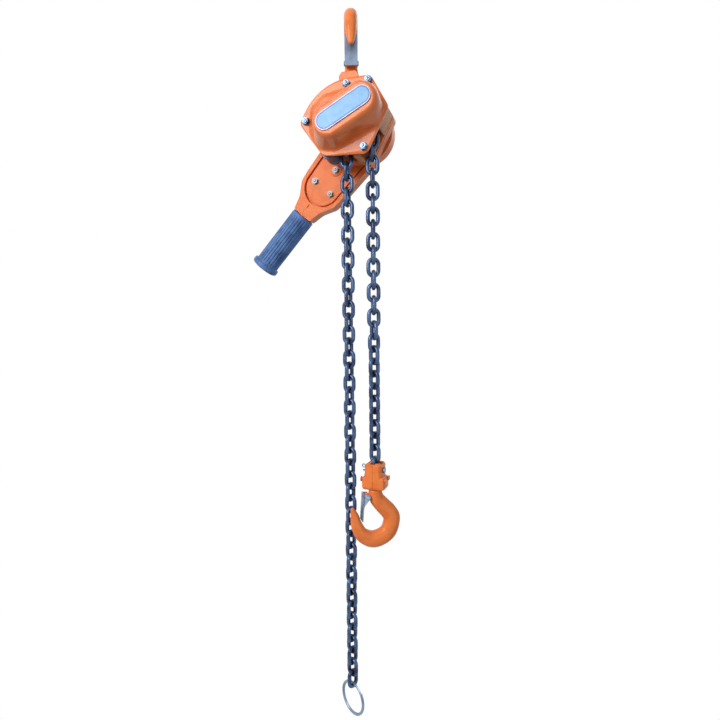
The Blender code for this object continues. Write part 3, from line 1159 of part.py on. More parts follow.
def make_bodies():
    shaft = Vector((SHAFT_X, 0.0, SHAFT_Z))
    top_pivot = TOP_HOOK_PLACE @ Vector((LATCH_PIVOT[0], 0.0, LATCH_PIVOT[1]))
    load_pivot = LOAD_HOOK_PLACE @ Vector((LATCH_PIVOT[0], 0.0, LATCH_PIVOT[1]))
    body("support", Vector((0, 0, 0)))
    body("top_latch", top_pivot)
    body("top_yoke", Vector((0, 0, -SHANK_FOOT)))
    body("frame", Vector((0, 0, TOP_PIN_Z)))
    x, z = about_shaft(ROLLER)
    body("roller", Vector((x, 0, z)))
    for name in ("sheave", "drive", "ratchet", "wheel", "lever"):
        body(name, shaft)
    for name, side in (("cluster_right", 0), ("cluster_left", 1)):
        direction = BOSS_ANGLE + math.pi * side
        x, z = about_shaft((GEAR_CENTRES * math.cos(direction), GEAR_CENTRES * math.sin(direction)))
        body(name, Vector((x, 0, z)))
    for name, notch in (("pawl_left", PAWL_NOTCHES[0]), ("pawl_right", PAWL_NOTCHES[1])):
        x, z = pawl_pivot(notch)
        body(name, Vector((x, 0, z)))
    x, z = about_shaft(on_lever(SELECTOR_ALONG, 0.0))
    body("selector", Vector((x, 0, z)))
    body("load_upper", LOAD_SWING)
    body("load_lower", LOAD_BEND_POINT)
    body("hook_yoke", Vector((LOAD_X, 0, CHAIN_PIN_Z)))
    body("load_hook", LOAD_SADDLE)
    body("load_latch", load_pivot)
    body("slack_upper", SLACK_SWING)
    body("slack_lower", SLACK_BEND_POINT)
    body("end_ring", RING_TOP)


def main():
    make_bodies()
    make_hooks()
    make_top_yoke()
    make_side_plates()
    make_stays()
    make_guides()
    make_gear_cover()
    make_brake_cover()
    make_sheave()
    make_gears()
    make_drive()
    make_brake()
    make_lever()
    make_selector()
    make_hand_wheel()
    make_chain()
    make_load_yoke()
    make_end_ring()


main()
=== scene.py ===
import json
import math

import bmesh
import bpy
import numpy as np
from mathutils import Matrix, Vector


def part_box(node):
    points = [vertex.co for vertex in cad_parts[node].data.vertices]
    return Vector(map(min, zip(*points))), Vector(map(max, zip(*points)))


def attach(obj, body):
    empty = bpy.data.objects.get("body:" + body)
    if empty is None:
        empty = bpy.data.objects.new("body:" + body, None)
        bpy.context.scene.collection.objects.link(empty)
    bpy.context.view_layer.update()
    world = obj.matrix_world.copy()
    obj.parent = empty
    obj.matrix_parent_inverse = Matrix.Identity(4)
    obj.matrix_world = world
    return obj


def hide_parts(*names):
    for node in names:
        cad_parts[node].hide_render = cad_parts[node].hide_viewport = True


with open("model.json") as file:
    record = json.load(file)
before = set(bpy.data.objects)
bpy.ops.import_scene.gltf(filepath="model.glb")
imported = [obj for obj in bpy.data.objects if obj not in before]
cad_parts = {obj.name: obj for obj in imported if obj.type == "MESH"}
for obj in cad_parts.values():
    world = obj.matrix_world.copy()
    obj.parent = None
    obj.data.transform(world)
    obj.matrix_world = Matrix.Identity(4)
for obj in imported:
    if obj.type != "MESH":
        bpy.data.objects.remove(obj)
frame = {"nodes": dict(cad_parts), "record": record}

mm = 0.001
NODES = frame["nodes"]


# sizes shared with the part
SHAFT = Vector((6.5 * mm, 0.0, -130.5 * mm))
PITCH, WIRE, LINK_WIDTH = 18.0 * mm, 6.0 * mm, 20.4 * mm
POCKETS = 4
LEAVE_ANGLE = math.radians(8.3)
SLACK_X = -8.0 * mm
SLACK_BEND = (0.34, 0.43, 0.23)
LOAD_HELD, LOAD_UPPER, LOAD_LOWER = 3, 12, 13
SLACK_UPPER, SLACK_LOWER = 32, 11
COVER_BACK, COVER_FLANGE, COVER_FACE = -20.3 * mm, -23.3 * mm, -57.0 * mm
BOSS_ANGLE = math.radians(28.0)
LEVER_ANGLE = math.radians(41.8)
LEVER_IN, LEVER_SPLIT, LEVER_OUT = 42.0 * mm, 52.5 * mm, 63.0 * mm
LEVER_HEAD_RADIUS = 43.5              # this and the next four along and across the lever, in mm
LEVER_HUB_RADIUS = 16.0
LEVER_NECK_END = 152
STEM_START = 136
GRIP_START = 153
COVER_SHELL = 2.6 * mm


# --- materials ----------------------------------------------------------------------------------
def procedural(name, colour, dark, rough, metallic=0.0, grain=900.0, bump=0.05, coat=0.0, streak=None,
               blotch=60.0, specular=0.5):
    """Painted or bare surface: two-tone blotches, fine grain in roughness and bump."""
    material = bpy.data.materials.new(name)
    material.use_nodes = True
    nodes, links = material.node_tree.nodes, material.node_tree.links
    shader = nodes["Principled BSDF"]
    shader.inputs["Metallic"].default_value = metallic
    shader.inputs["Coat Weight"].default_value = coat
    shader.inputs["Coat Roughness"].default_value = 0.06
    shader.inputs["Coat IOR"].default_value = 1.35
    shader.inputs["Specular IOR Level"].default_value = specular
    place = nodes.new("ShaderNodeTexCoord")
    mapping = nodes.new("ShaderNodeMapping")
    links.new(place.outputs["Object"], mapping.inputs["Vector"])
    if streak:
        mapping.inputs["Scale"].default_value = streak
    large = nodes.new("ShaderNodeTexNoise")
    large.inputs["Scale"].default_value = blotch
    large.inputs["Detail"].default_value = 5.0
    fine = nodes.new("ShaderNodeTexNoise")
    fine.inputs["Scale"].default_value = grain
    fine.inputs["Detail"].default_value = 3.0
    links.new(mapping.outputs["Vector"], large.inputs["Vector"])
    links.new(mapping.outputs["Vector"], fine.inputs["Vector"])
    tone = nodes.new("ShaderNodeValToRGB")
    tone.color_ramp.elements[0].position = 0.36
    tone.color_ramp.elements[0].color = (*dark, 1.0)
    tone.color_ramp.elements[1].position = 0.56
    tone.color_ramp.elements[1].color = (*colour, 1.0)
    links.new(large.outputs["Fac"], tone.inputs["Fac"])
    links.new(tone.outputs["Color"], shader.inputs["Base Color"])
    roughness = nodes.new("ShaderNodeMapRange")
    roughness.inputs["To Min"].default_value = rough * 0.75
    roughness.inputs["To Max"].default_value = rough * 1.3
    links.new(fine.outputs["Fac"], roughness.inputs["Value"])
    links.new(roughness.outputs["Result"], shader.inputs["Roughness"])
    height = nodes.new("ShaderNodeBump")
    height.inputs["Strength"].default_value = bump
    height.inputs["Distance"].default_value = 0.2 * mm
    links.new(fine.outputs["Fac"], height.inputs["Height"])
    links.new(height.outputs["Normal"], shader.inputs["Normal"])
    return material


PAINT = procedural("orange_paint", (0.80, 0.190, 0.046), (0.70, 0.155, 0.036), 0.32, 0.0, 500, 0.06, 0.5,
                   specular=0.2)
SATIN_PAINT = procedural("orange_paint_satin", (0.80, 0.190, 0.050), (0.70, 0.155, 0.038), 0.38, 0.0, 500,
                         0.06, 0.12, specular=0.12)
CAST_PAINT = procedural("orange_paint_on_forging", (0.82, 0.200, 0.040), (0.70, 0.155, 0.028), 0.40, 0.0,
                        330, 0.4, 0.3, specular=0.2)
# Darker brown-orange copy of the orange paint: painted shade for the side guard and chain stripper, which
# sit in shade between the plates
SHADED_ORANGE_PAINT = procedural("orange_paint_painted_shade", (0.52, 0.19, 0.06), (0.38, 0.12, 0.04), 0.45, 0.0, 500, 0.1,
                    specular=0.2)
ZINC = procedural("zinc_plate", (0.24, 0.31, 0.42), (0.14, 0.20, 0.29), 0.34, 0.9, 1200, 0.08)
NUT = procedural("zinc_nut", (0.10, 0.14, 0.20), (0.04, 0.06, 0.10), 0.26, 0.9, 1200, 0.08)
SCREW = procedural("stained_screw", (0.17, 0.15, 0.16), (0.13, 0.07, 0.05), 0.36, 0.6, 800, 0.15)
CHAIN = procedural("chain_steel", (0.058, 0.100, 0.200), (0.022, 0.036, 0.080), 0.28, 0.65, 700, 0.18, 0.15,
                   specular=0.3)
MACHINED = procedural("machined_steel", (0.42, 0.43, 0.45), (0.32, 0.33, 0.35), 0.3, 0.95, 500, 0.1,
                      streak=(1.0, 12.0, 1.0))
RUBBER = procedural("slate_rubber", (0.105, 0.20, 0.42), (0.055, 0.11, 0.25), 0.42, 0.0, 1500, 0.2,
                    specular=0.15)
LINING = procedural("friction_lining", (0.13, 0.10, 0.07), (0.06, 0.045, 0.035), 0.9, 0.0, 900, 0.6)
PLATE_BLUE = procedural("plate_blue", (0.10, 0.27, 0.48), (0.08, 0.24, 0.44), 0.35, 0.1, 1600, 0.1, 0.1,
                        blotch=90.0)
PLATE_EDGE = procedural("plate_border", (0.04, 0.13, 0.42), (0.03, 0.10, 0.34), 0.35, 0.0, 900, 0.05)
PLATE_RIM = procedural("plate_rim", (0.22, 0.25, 0.33), (0.15, 0.18, 0.26), 0.3, 0.6, 900, 0.05)
# Steel made dark and bluish: painted shade for the hollow between the plates, with a painted reflection of
# the chain in its blue tint
SHADED_DARK_STEEL = procedural("dark_steel_painted_shade", (0.05, 0.07, 0.12), (0.025, 0.035, 0.06), 0.35, 0.7, 700, 0.1)

# side_guard and chain_stripper take the darker orange that carries painted shade; guide_roller takes the
# dark steel whose colour is painted shade and painted reflection
NODE_LOOKS = {
    "gear_side_plate": SATIN_PAINT, "brake_side_plate": SATIN_PAINT, "brake_cover": SATIN_PAINT,
    "side_guard": SHADED_ORANGE_PAINT, "chain_stripper": SHADED_ORANGE_PAINT, "guide_roller": SHADED_DARK_STEEL, "hand_wheel": SATIN_PAINT,
    "friction_disc_inner": LINING, "friction_disc_outer": LINING,
}


# --- mesh helpers -------------------------------------------------------------------------------
def finished(name, mesh, material, body, nodes=(), bevel=0.0, segments=3, subdivide=0,
             angle=35.0):
    """A shown piece: soft edges, smooth shading, riding on its body in place of CAD nodes."""
    obj = bpy.data.objects.new(name, mesh)
    bpy.context.scene.collection.objects.link(obj)
    for one in material if isinstance(material, (list, tuple)) else (material,):
        mesh.materials.append(one)
    if bevel:
        modifier = obj.modifiers.new("edges", "BEVEL")
        modifier.width = bevel
        modifier.segments = segments
        modifier.limit_method = "ANGLE"
        modifier.angle_limit = math.radians(32.0)
        modifier.harden_normals = False
    if subdivide:
        modifier = obj.modifiers.new("smooth", "SUBSURF")
        modifier.levels = subdivide
        modifier.render_levels = subdivide
    mesh.shade_smooth()
    if not subdivide:
        mesh.set_sharp_from_angle(angle=math.radians(angle))
    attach(obj, body)
    if nodes:
        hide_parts(*nodes)
    return obj


def mesh_of(bm):
    bmesh.ops.remove_doubles(bm, verts=bm.verts, dist=1e-6)
    bmesh.ops.recalc_face_normals(bm, faces=bm.faces)
    mesh = bpy.data.meshes.new("shape")
    bm.to_mesh(mesh)
    bm.free()
    return mesh


def evaluated(obj):
    bpy.context.scene.collection.objects.link(obj)
    bpy.context.view_layer.update()
    graph = bpy.context.evaluated_depsgraph_get()
    mesh = bpy.data.meshes.new_from_object(obj.evaluated_get(graph), depsgraph=graph)
    mesh.transform(obj.matrix_world)
    bpy.data.objects.remove(obj, do_unlink=True)
    bm = bmesh.new()
    bm.from_mesh(mesh)
    return mesh_of(bm)


def merged(*meshes):
    bm = bmesh.new()
    for mesh in meshes:
        bm.from_mesh(mesh)
    mesh = bpy.data.meshes.new("merged")
    bm.to_mesh(mesh)
    bm.free()
    return mesh


def lofted(rings, capped=(True, True)):
    """Skin through rings of the same number of points."""
    bm = bmesh.new()
    loops = [[bm.verts.new(point) for point in ring] for ring in rings]
    for lower, upper in zip(loops, loops[1:]):
        for i in range(len(lower)):
            j = (i + 1) % len(lower)
            bm.faces.new((lower[i], lower[j], upper[j], upper[i]))
    if capped[0]:
        bm.faces.new(loops[0])
    if capped[1]:
        bm.faces.new(loops[-1])
    bmesh.ops.recalc_face_normals(bm, faces=bm.faces)
    mesh = bpy.data.meshes.new("loft")
    bm.to_mesh(mesh)
    bm.free()
    return mesh


def towards(direction):
    return Vector(direction).to_track_quat("Z", "Y").to_matrix().to_4x4()


def turned(profile, origin, axis, steps=48):
    """Closed solid of revolution from (radius, height) rings, bottom to top."""
    placed = Matrix.Translation(origin) @ towards(axis)
    rings = []
    for radius, height in profile:
        rings.append([placed @ Vector((radius * math.cos(2 * math.pi * k / steps),
                                       radius * math.sin(2 * math.pi * k / steps), height))
                      for k in range(steps)])
    return lofted(rings)


def plate(outlines, y0, y1, origin=SHAFT):
    curve = bpy.data.curves.new("outline", "CURVE")
    curve.dimensions = "2D"
    curve.fill_mode = "BOTH"
    curve.extrude = (y1 - y0) / 2
    for outline in outlines:
        spline = curve.splines.new("POLY")
        spline.points.add(len(outline) - 1)
        for point, (x, z) in zip(spline.points, outline):
            point.co = (x, z, 0.0, 1.0)
        spline.use_cyclic_u = True
    obj = bpy.data.objects.new("plate", curve)
    obj.matrix_world = (Matrix.Translation((origin.x, (y0 + y1) / 2, origin.z))
                        @ Matrix.Rotation(math.radians(90.0), 4, "X"))
    return evaluated(obj)


def cut(mesh, *tools):
    for tool_mesh in tools:
        target = bpy.data.objects.new("target", mesh)
        tool = bpy.data.objects.new("tool", tool_mesh)
        bpy.context.scene.collection.objects.link(tool)
        modifier = target.modifiers.new("cut", "BOOLEAN")
        modifier.operation = "DIFFERENCE"
        modifier.object = tool
        mesh = evaluated(target)
        bpy.data.objects.remove(tool, do_unlink=True)
    return mesh


def circle(radius, x=0.0, z=0.0, steps=32):
    turn = 2 * math.pi / steps
    return [(x + radius * math.cos(turn * i), z + radius * math.sin(turn * i)) for i in range(steps)]


def rounded(corners, arc_step=math.radians(6.0)):
    outline = []
    count = len(corners)
    for i, (x, z, radius) in enumerate(corners):
        corner = Vector((x, z))
        before = (Vector(corners[i - 1][:2]) - corner).normalized()
        after = (Vector(corners[(i + 1) % count][:2]) - corner).normalized()
        half = math.acos(max(-1.0, min(1.0, before.dot(after)))) / 2
        centre = corner + (before + after).normalized() * (radius / math.sin(half))
        start = corner + before * (radius / math.tan(half)) - centre
        sweep = math.pi - 2 * half
        if before.x * after.y - before.y * after.x > 0:
            sweep = -sweep
        steps = max(1, round(abs(sweep) / arc_step))
        for k in range(steps + 1):
            outline.append(tuple(centre + Matrix.Rotation(sweep * k / steps, 2) @ start))
    return outline


def stadium(half_length, half_width, angle, centre, steps=20):
    outline = []
    along = Vector((math.cos(angle), math.sin(angle)))
    for side in (1, -1):
        middle = Vector(centre) + along * side * (half_length - half_width)
        for k in range(steps + 1):
            turn = angle + math.pi * (k / steps - 0.5) + (0.0 if side == 1 else math.pi)
            outline.append(tuple(middle + Vector((math.cos(turn), math.sin(turn))) * half_width))
    return outline


def radius_at(outline, centre, angle):
    direction = Vector((math.cos(angle), math.sin(angle)))
    best = 0.0
    for i, point in enumerate(outline):
        a = Vector(outline[i - 1]) - centre
        edge = Vector(point) - centre - a
        det = direction.x * edge.y - direction.y * edge.x
        if abs(det) < 1e-12:
            continue
        share = (a.x * direction.y - a.y * direction.x) / det
        if -1e-9 <= share <= 1 + 1e-9:
            best = max(best, (a.x * edge.y - a.y * edge.x) / det)
    return best


# --- softened copies of plain CAD pieces ----------------------------------------------------------
def softened(node, material, body, bevel):
    """The same solid as the CAD node, with rounded edges."""
    bm = bmesh.new()
    bm.from_mesh(NODES[node].data)
    bmesh.ops.remove_doubles(bm, verts=bm.verts, dist=1e-6)
    bmesh.ops.dissolve_limit(bm, angle_limit=math.radians(0.5), verts=bm.verts, edges=bm.edges)
    mesh = bpy.data.meshes.new(node)
    bm.to_mesh(mesh)
    bm.free()
    return finished(node + "_look", mesh, material, body, (node,), bevel=bevel)


# --- chain --------------------------------------------------------------------------------------
JOINT_RADIUS = PITCH / 2 / math.sin(math.pi / (2 * POCKETS))


def sheave_joint(index):
    angle = LEAVE_ANGLE + index * math.pi / POCKETS
    return SHAFT + JOINT_RADIUS * Vector((math.cos(angle), 0.0, math.sin(angle)))


def straight_joints(start, count):
    return [start - Vector((0.0, 0.0, PITCH * i)) for i in range(count + 1)]


def guided_joints(start):
    joints = [start]
    for share in SLACK_BEND:
        across = (SLACK_X - start.x) * share
        joints.append(joints[-1] + Vector((across, 0.0, -math.sqrt(PITCH ** 2 - across ** 2))))
    return joints


LINK_ARC, LINK_ROUND = 9, 14


def add_link(bm, upper, lower, twist):
    """Welded round-wire link: a stadium path, a little thicker at the weld on one side."""
    end_radius = (LINK_WIDTH - WIRE) / 2
    straight = (PITCH + WIRE) / 2 - end_radius
    tilt = Vector((0, 0, 1)).rotation_difference(upper - lower).to_matrix().to_4x4()
    placed = Matrix.Translation((upper + lower) / 2) @ tilt @ Matrix.Rotation(twist, 4, "Z")
    loops = []
    for side in (1, -1):
        stations = [(math.pi * k / LINK_ARC, side * straight) for k in range(LINK_ARC + 1)]
        stations += [(math.pi, side * straight * part) for part in (0.45, 0.18, 0.0, -0.18, -0.45)]
        for turn, height in stations:
            turn += 0.0 if side == 1 else math.pi
            outward = Vector((math.cos(turn), 0.0, math.sin(turn)))
            swell = 1.07 if side == 1 and abs(height) < 0.1 * straight else 1.0
            centre = Vector((outward.x, 0.0, outward.z)) * end_radius + Vector((0.0, 0.0, height))
            loop = []
            for k in range(LINK_ROUND):
                angle = 2 * math.pi * k / LINK_ROUND
                offset = outward * math.cos(angle) + Vector((0, 1, 0)) * math.sin(angle)
                loop.append(bm.verts.new(placed @ (centre + offset * (WIRE / 2) * swell)))
            loops.append(loop)
    for i, loop in enumerate(loops):
        before = loops[i - 1]
        for k in range(LINK_ROUND):
            j = (k + 1) % LINK_ROUND
            bm.faces.new((before[k], before[j], loop[j], loop[k]))


def chain_piece(name, joints, twists, body, nodes):
    bm = bmesh.new()
    for i in range(len(joints) - 1):
        add_link(bm, joints[i], joints[i + 1], twists[i])
    bmesh.ops.recalc_face_normals(bm, faces=bm.faces)
    mesh = bpy.data.meshes.new(name)
    bm.to_mesh(mesh)
    bm.free()
    finished(name, mesh, CHAIN, body, nodes, angle=80.0)


def twists_for(first, count, knots):
    """Turn of each link in a run: a slow twist through (link, degrees) knots."""
    where, turns = zip(*knots)
    return [math.radians(float(np.interp(i, where, turns)) + 90.0 * ((first + i) % 2))
            for i in range(count)]


def make_chains():
    load = straight_joints(sheave_joint(0), LOAD_HELD + LOAD_UPPER + LOAD_LOWER)
    guided = guided_joints(sheave_joint(POCKETS))
    slack = straight_joints(guided[-1], SLACK_UPPER + SLACK_LOWER)
    over = list(reversed(guided)) + [sheave_joint(i) for i in range(POCKETS - 1, -1, -1)]
    over += load[1:LOAD_HELD + 1]
    chain_piece("chain_in_sheave", over, [math.radians(90.0) * (i % 2) for i in range(len(over) - 1)],
                "frame", ("chain_over_sheave",))
    free = load[LOAD_HELD:]
    turns = twists_for(0, LOAD_UPPER + LOAD_LOWER, ((0, 6), (3, 15), (11, 22), (15, 56), (23, 62),
                                                    (24, 85)))
    chain_piece("load_chain_a", free[:LOAD_UPPER + 1], turns[:LOAD_UPPER], "load_upper",
                ("load_chain_upper",))
    chain_piece("load_chain_b", free[LOAD_UPPER:], turns[LOAD_UPPER:], "load_lower",
                ("load_chain_lower",))
    turns = twists_for(1, SLACK_UPPER + SLACK_LOWER, ((0, 0), (19, -17), (42, -28)))
    chain_piece("slack_chain_a", slack[:SLACK_UPPER + 1], turns[:SLACK_UPPER], "slack_upper",
                ("slack_chain_upper",))
    chain_piece("slack_chain_b", slack[SLACK_UPPER:], turns[SLACK_UPPER:], "slack_lower",
                ("slack_chain_lower",))


# --- gear cover ---------------------------------------------------------------------------------
BODY_CORNERS = ((27, 55.5, 9), (52.5, 10.5, 8), (21, -49.5, 9), (-43, -48, 13), (-77.5, -0.5, 8),
                (-48, 55.5, 78))
HOUSING_CORNERS = ((12, 38.5, 10), (27, 37, 9), (47.5, 11, 8), (38, -12.5, 6), (-24, -41.5, 12),
                   (-49, -39, 19), (-61, -13, 14), (-59, 17, 14), (-40, 34.5, 24), (-17, 37.5, 14))
BOSS_CENTRE = (-2.7 * mm, 1.4 * mm)
BOLT_PLACES = ((-6.5, 46.0), (24.0, 47.5), (-67.0, 2.0), (17.0, -40.5))


def make_gear_cover():
    centre = Vector((-4.0 * mm, 1.0 * mm))
    flange = rounded([(x * mm, z * mm, r * mm) for x, z, r in BODY_CORNERS])
    foot = rounded([(x * mm, z * mm, r * mm) for x, z, r in HOUSING_CORNERS])
    boss = [stadium(length * mm, width * mm, BOSS_ANGLE, BOSS_CENTRE)
            for length, width in ((50.5, 26.5), (48.8, 24.4), (47.0, 22.4), (44.3, 19.4))]
    rings = ((flange, 0.0, COVER_BACK), (flange, 0.0, COVER_FLANGE + 0.9 * mm),
             (flange, -0.9 * mm, COVER_FLANGE), (foot, 2.6 * mm, COVER_FLANGE),
             (foot, 0.6 * mm, COVER_FLANGE - 0.5 * mm), (foot, -0.9 * mm, COVER_FLANGE - 3.0 * mm),
             (boss[0], 0.0, COVER_FACE + 13.0 * mm), (boss[1], 0.0, COVER_FACE + 7.0 * mm),
             (boss[2], 0.0, COVER_FACE + 2.4 * mm), (boss[3], 0.0, COVER_FACE),
             (boss[3], -1.6 * mm, COVER_FACE), (boss[3], -2.3 * mm, COVER_FACE + 0.35 * mm),
             (boss[3], -7.0 * mm, COVER_FACE + 0.35 * mm))
    count = 144
    loops = []
    for outline, grow, y in rings:
        loop = []
        for i in range(count):
            angle = 2 * math.pi * i / count
            far = radius_at(outline, centre, angle) + grow
            loop.append((SHAFT.x + centre.x + far * math.cos(angle), y,
                         SHAFT.z + centre.y + far * math.sin(angle)))
        loops.append(loop)
    mesh = lofted(loops, (False, True))
    obj = finished("gear_cover_look", mesh, PAINT, "frame", ("gear_cover",))
    shell = obj.modifiers.new("shell", "SOLIDIFY")
    shell.thickness = COVER_SHELL
    shell.offset = -1.0
    smooth = obj.modifiers.new("smooth", "SUBSURF")
    smooth.levels = smooth.render_levels = 1
    mesh.shade_smooth()


def make_name_plate():
    face = COVER_FACE - 0.3 * mm
    rings = ((41.8, 12.6, 0.0, 1.1), (40.9, 11.7, 0.15, 1.15), (39.2, 10.0, 0.3, 1.2))
    for (length, width, low, high), material, name in zip(
            rings, (PLATE_RIM, PLATE_EDGE, PLATE_BLUE), ("rim", "border", "field")):
        mesh = plate([stadium(length * mm, width * mm, BOSS_ANGLE, BOSS_CENTRE)],
                     face - high * mm, face - low * mm)
        nodes = ("name_plate",) if name == "rim" else ()
        finished("name_plate_" + name, mesh, material, "frame", nodes,
                 bevel=0.12 * mm, segments=2)


# --- nuts and bolts -------------------------------------------------------------------------------
def hex_prism(x, z, y0, y1, radius, turn=0.0):
    """Hexagon head or nut, turned about its own axis."""
    hexagon = [(x + radius * math.cos(math.radians(60 * k) + turn),
                z + radius * math.sin(math.radians(60 * k) + turn)) for k in range(6)]
    return plate([hexagon], y0, y1)


def make_fixings():
    front = COVER_FLANGE - 0.3 * mm
    for number, (x, z) in enumerate(BOLT_PLACES):
        name = ("top", "right", "left", "bottom")[number]
        centre = Vector((SHAFT.x + x * mm, 0.0, SHAFT.z + z * mm))
        nut = hex_prism(x * mm, z * mm, front - 5.4 * mm, front - 1.0 * mm, 5.4 * mm, 0.3 * number + 0.2)
        washer = turned(((5.7 * mm, 0.05 * mm), (5.7 * mm, 1.0 * mm)), centre + Vector((0, front, 0)),
                        (0, -1, 0))
        finished("cover_nut_look_" + name, merged(nut, washer), NUT, "frame", ("cover_nut_" + name,),
                 bevel=0.5 * mm, segments=3)


def thread_end(centre, y):
    """The domed, threaded end of a stud."""
    rings = []
    for k in range(7):
        rings += [(2.9 * mm, k * 0.5 * mm), (2.65 * mm, k * 0.5 * mm + 0.25 * mm)]
    rings += [(2.2 * mm, 3.7 * mm), (1.0 * mm, 3.9 * mm)]
    return turned(rings, centre + Vector((0, y, 0)), (0, -1, 0), 32)


def make_stud_ends():
    front = COVER_FLANGE - 4.2 * mm
    for number, (x, z) in enumerate(BOLT_PLACES):
        centre = Vector((SHAFT.x + x * mm, 0.0, SHAFT.z + z * mm))
        finished("stud_end_%d" % number, thread_end(centre, front), NUT, "frame", ())


# --- lever --------------------------------------------------------------------------------------
ALONG = Vector((-math.sin(LEVER_ANGLE), -math.cos(LEVER_ANGLE)))
ACROSS = Vector((math.cos(LEVER_ANGLE), -math.sin(LEVER_ANGLE)))
LEVER_MIDDLE = (LEVER_IN + LEVER_OUT) / 2


def on_lever(along, across):
    return tuple((ALONG * along + ACROSS * across) * mm)


def lever_corners(inset=0.0):
    """Broad shoulders and a neck curving in to the stem: along, across and radius, one side."""
    return ((96, 36.0 - inset, 30), (112, 34.0 - inset, 16), (132, 21.5 - inset, 30),
            (LEVER_NECK_END, 16.2 - inset, 2))


def lever_outline(inset=0.0):
    """Round head round the shaft, then down both sides of the neck."""
    head = LEVER_HEAD_RADIUS - inset
    arc = []
    steps, opening = 40, math.radians(70.0)
    for k in range(steps + 1):
        turn = opening + (2 * math.pi - 2 * opening) * k / steps
        arc.append(on_lever(head * math.cos(turn), -head * math.sin(turn)))
    corners = lever_corners(inset)
    side = [(*on_lever(along, across), radius * mm) for along, across, radius in corners]
    other = [(*on_lever(along, -across), radius * mm) for along, across, radius in reversed(corners)]
    return closed_by_corners(arc, side + other)


def closed_by_corners(arc, corners):
    """A ready arc closed by rounded corners."""
    points = [(x, z, 0.0) for x, z in arc] + corners
    outline = []
    count = len(points)
    for i, (x, z, radius) in enumerate(points):
        if radius == 0.0:
            outline.append((x, z))
            continue
        corner = Vector((x, z))
        before = Vector(points[i - 1][:2]) - corner
        after = Vector(points[(i + 1) % count][:2]) - corner
        reach = min(before.length, after.length) * 0.45
        half = math.acos(max(-1.0, min(1.0, before.normalized().dot(after.normalized())))) / 2
        reach = min(reach, radius / math.tan(half))
        start = corner + before.normalized() * reach
        end = corner + after.normalized() * reach
        for k in range(9):
            t = k / 8
            outline.append(tuple((1 - t) ** 2 * start + 2 * t * (1 - t) * corner + t * t * end))
    return outline


def cover_outline(half_width, narrow, end, start=22.0):
    """U-shaped raised cover: straight sides that close in, and a round end."""
    centre = end - narrow
    outline = [on_lever(start, half_width)]
    for k in range(25):
        turn = math.pi / 2 - math.pi * k / 24
        outline.append(on_lever(centre + narrow * math.cos(turn), narrow * math.sin(turn)))
    outline.append(on_lever(start, -half_width))
    return outline


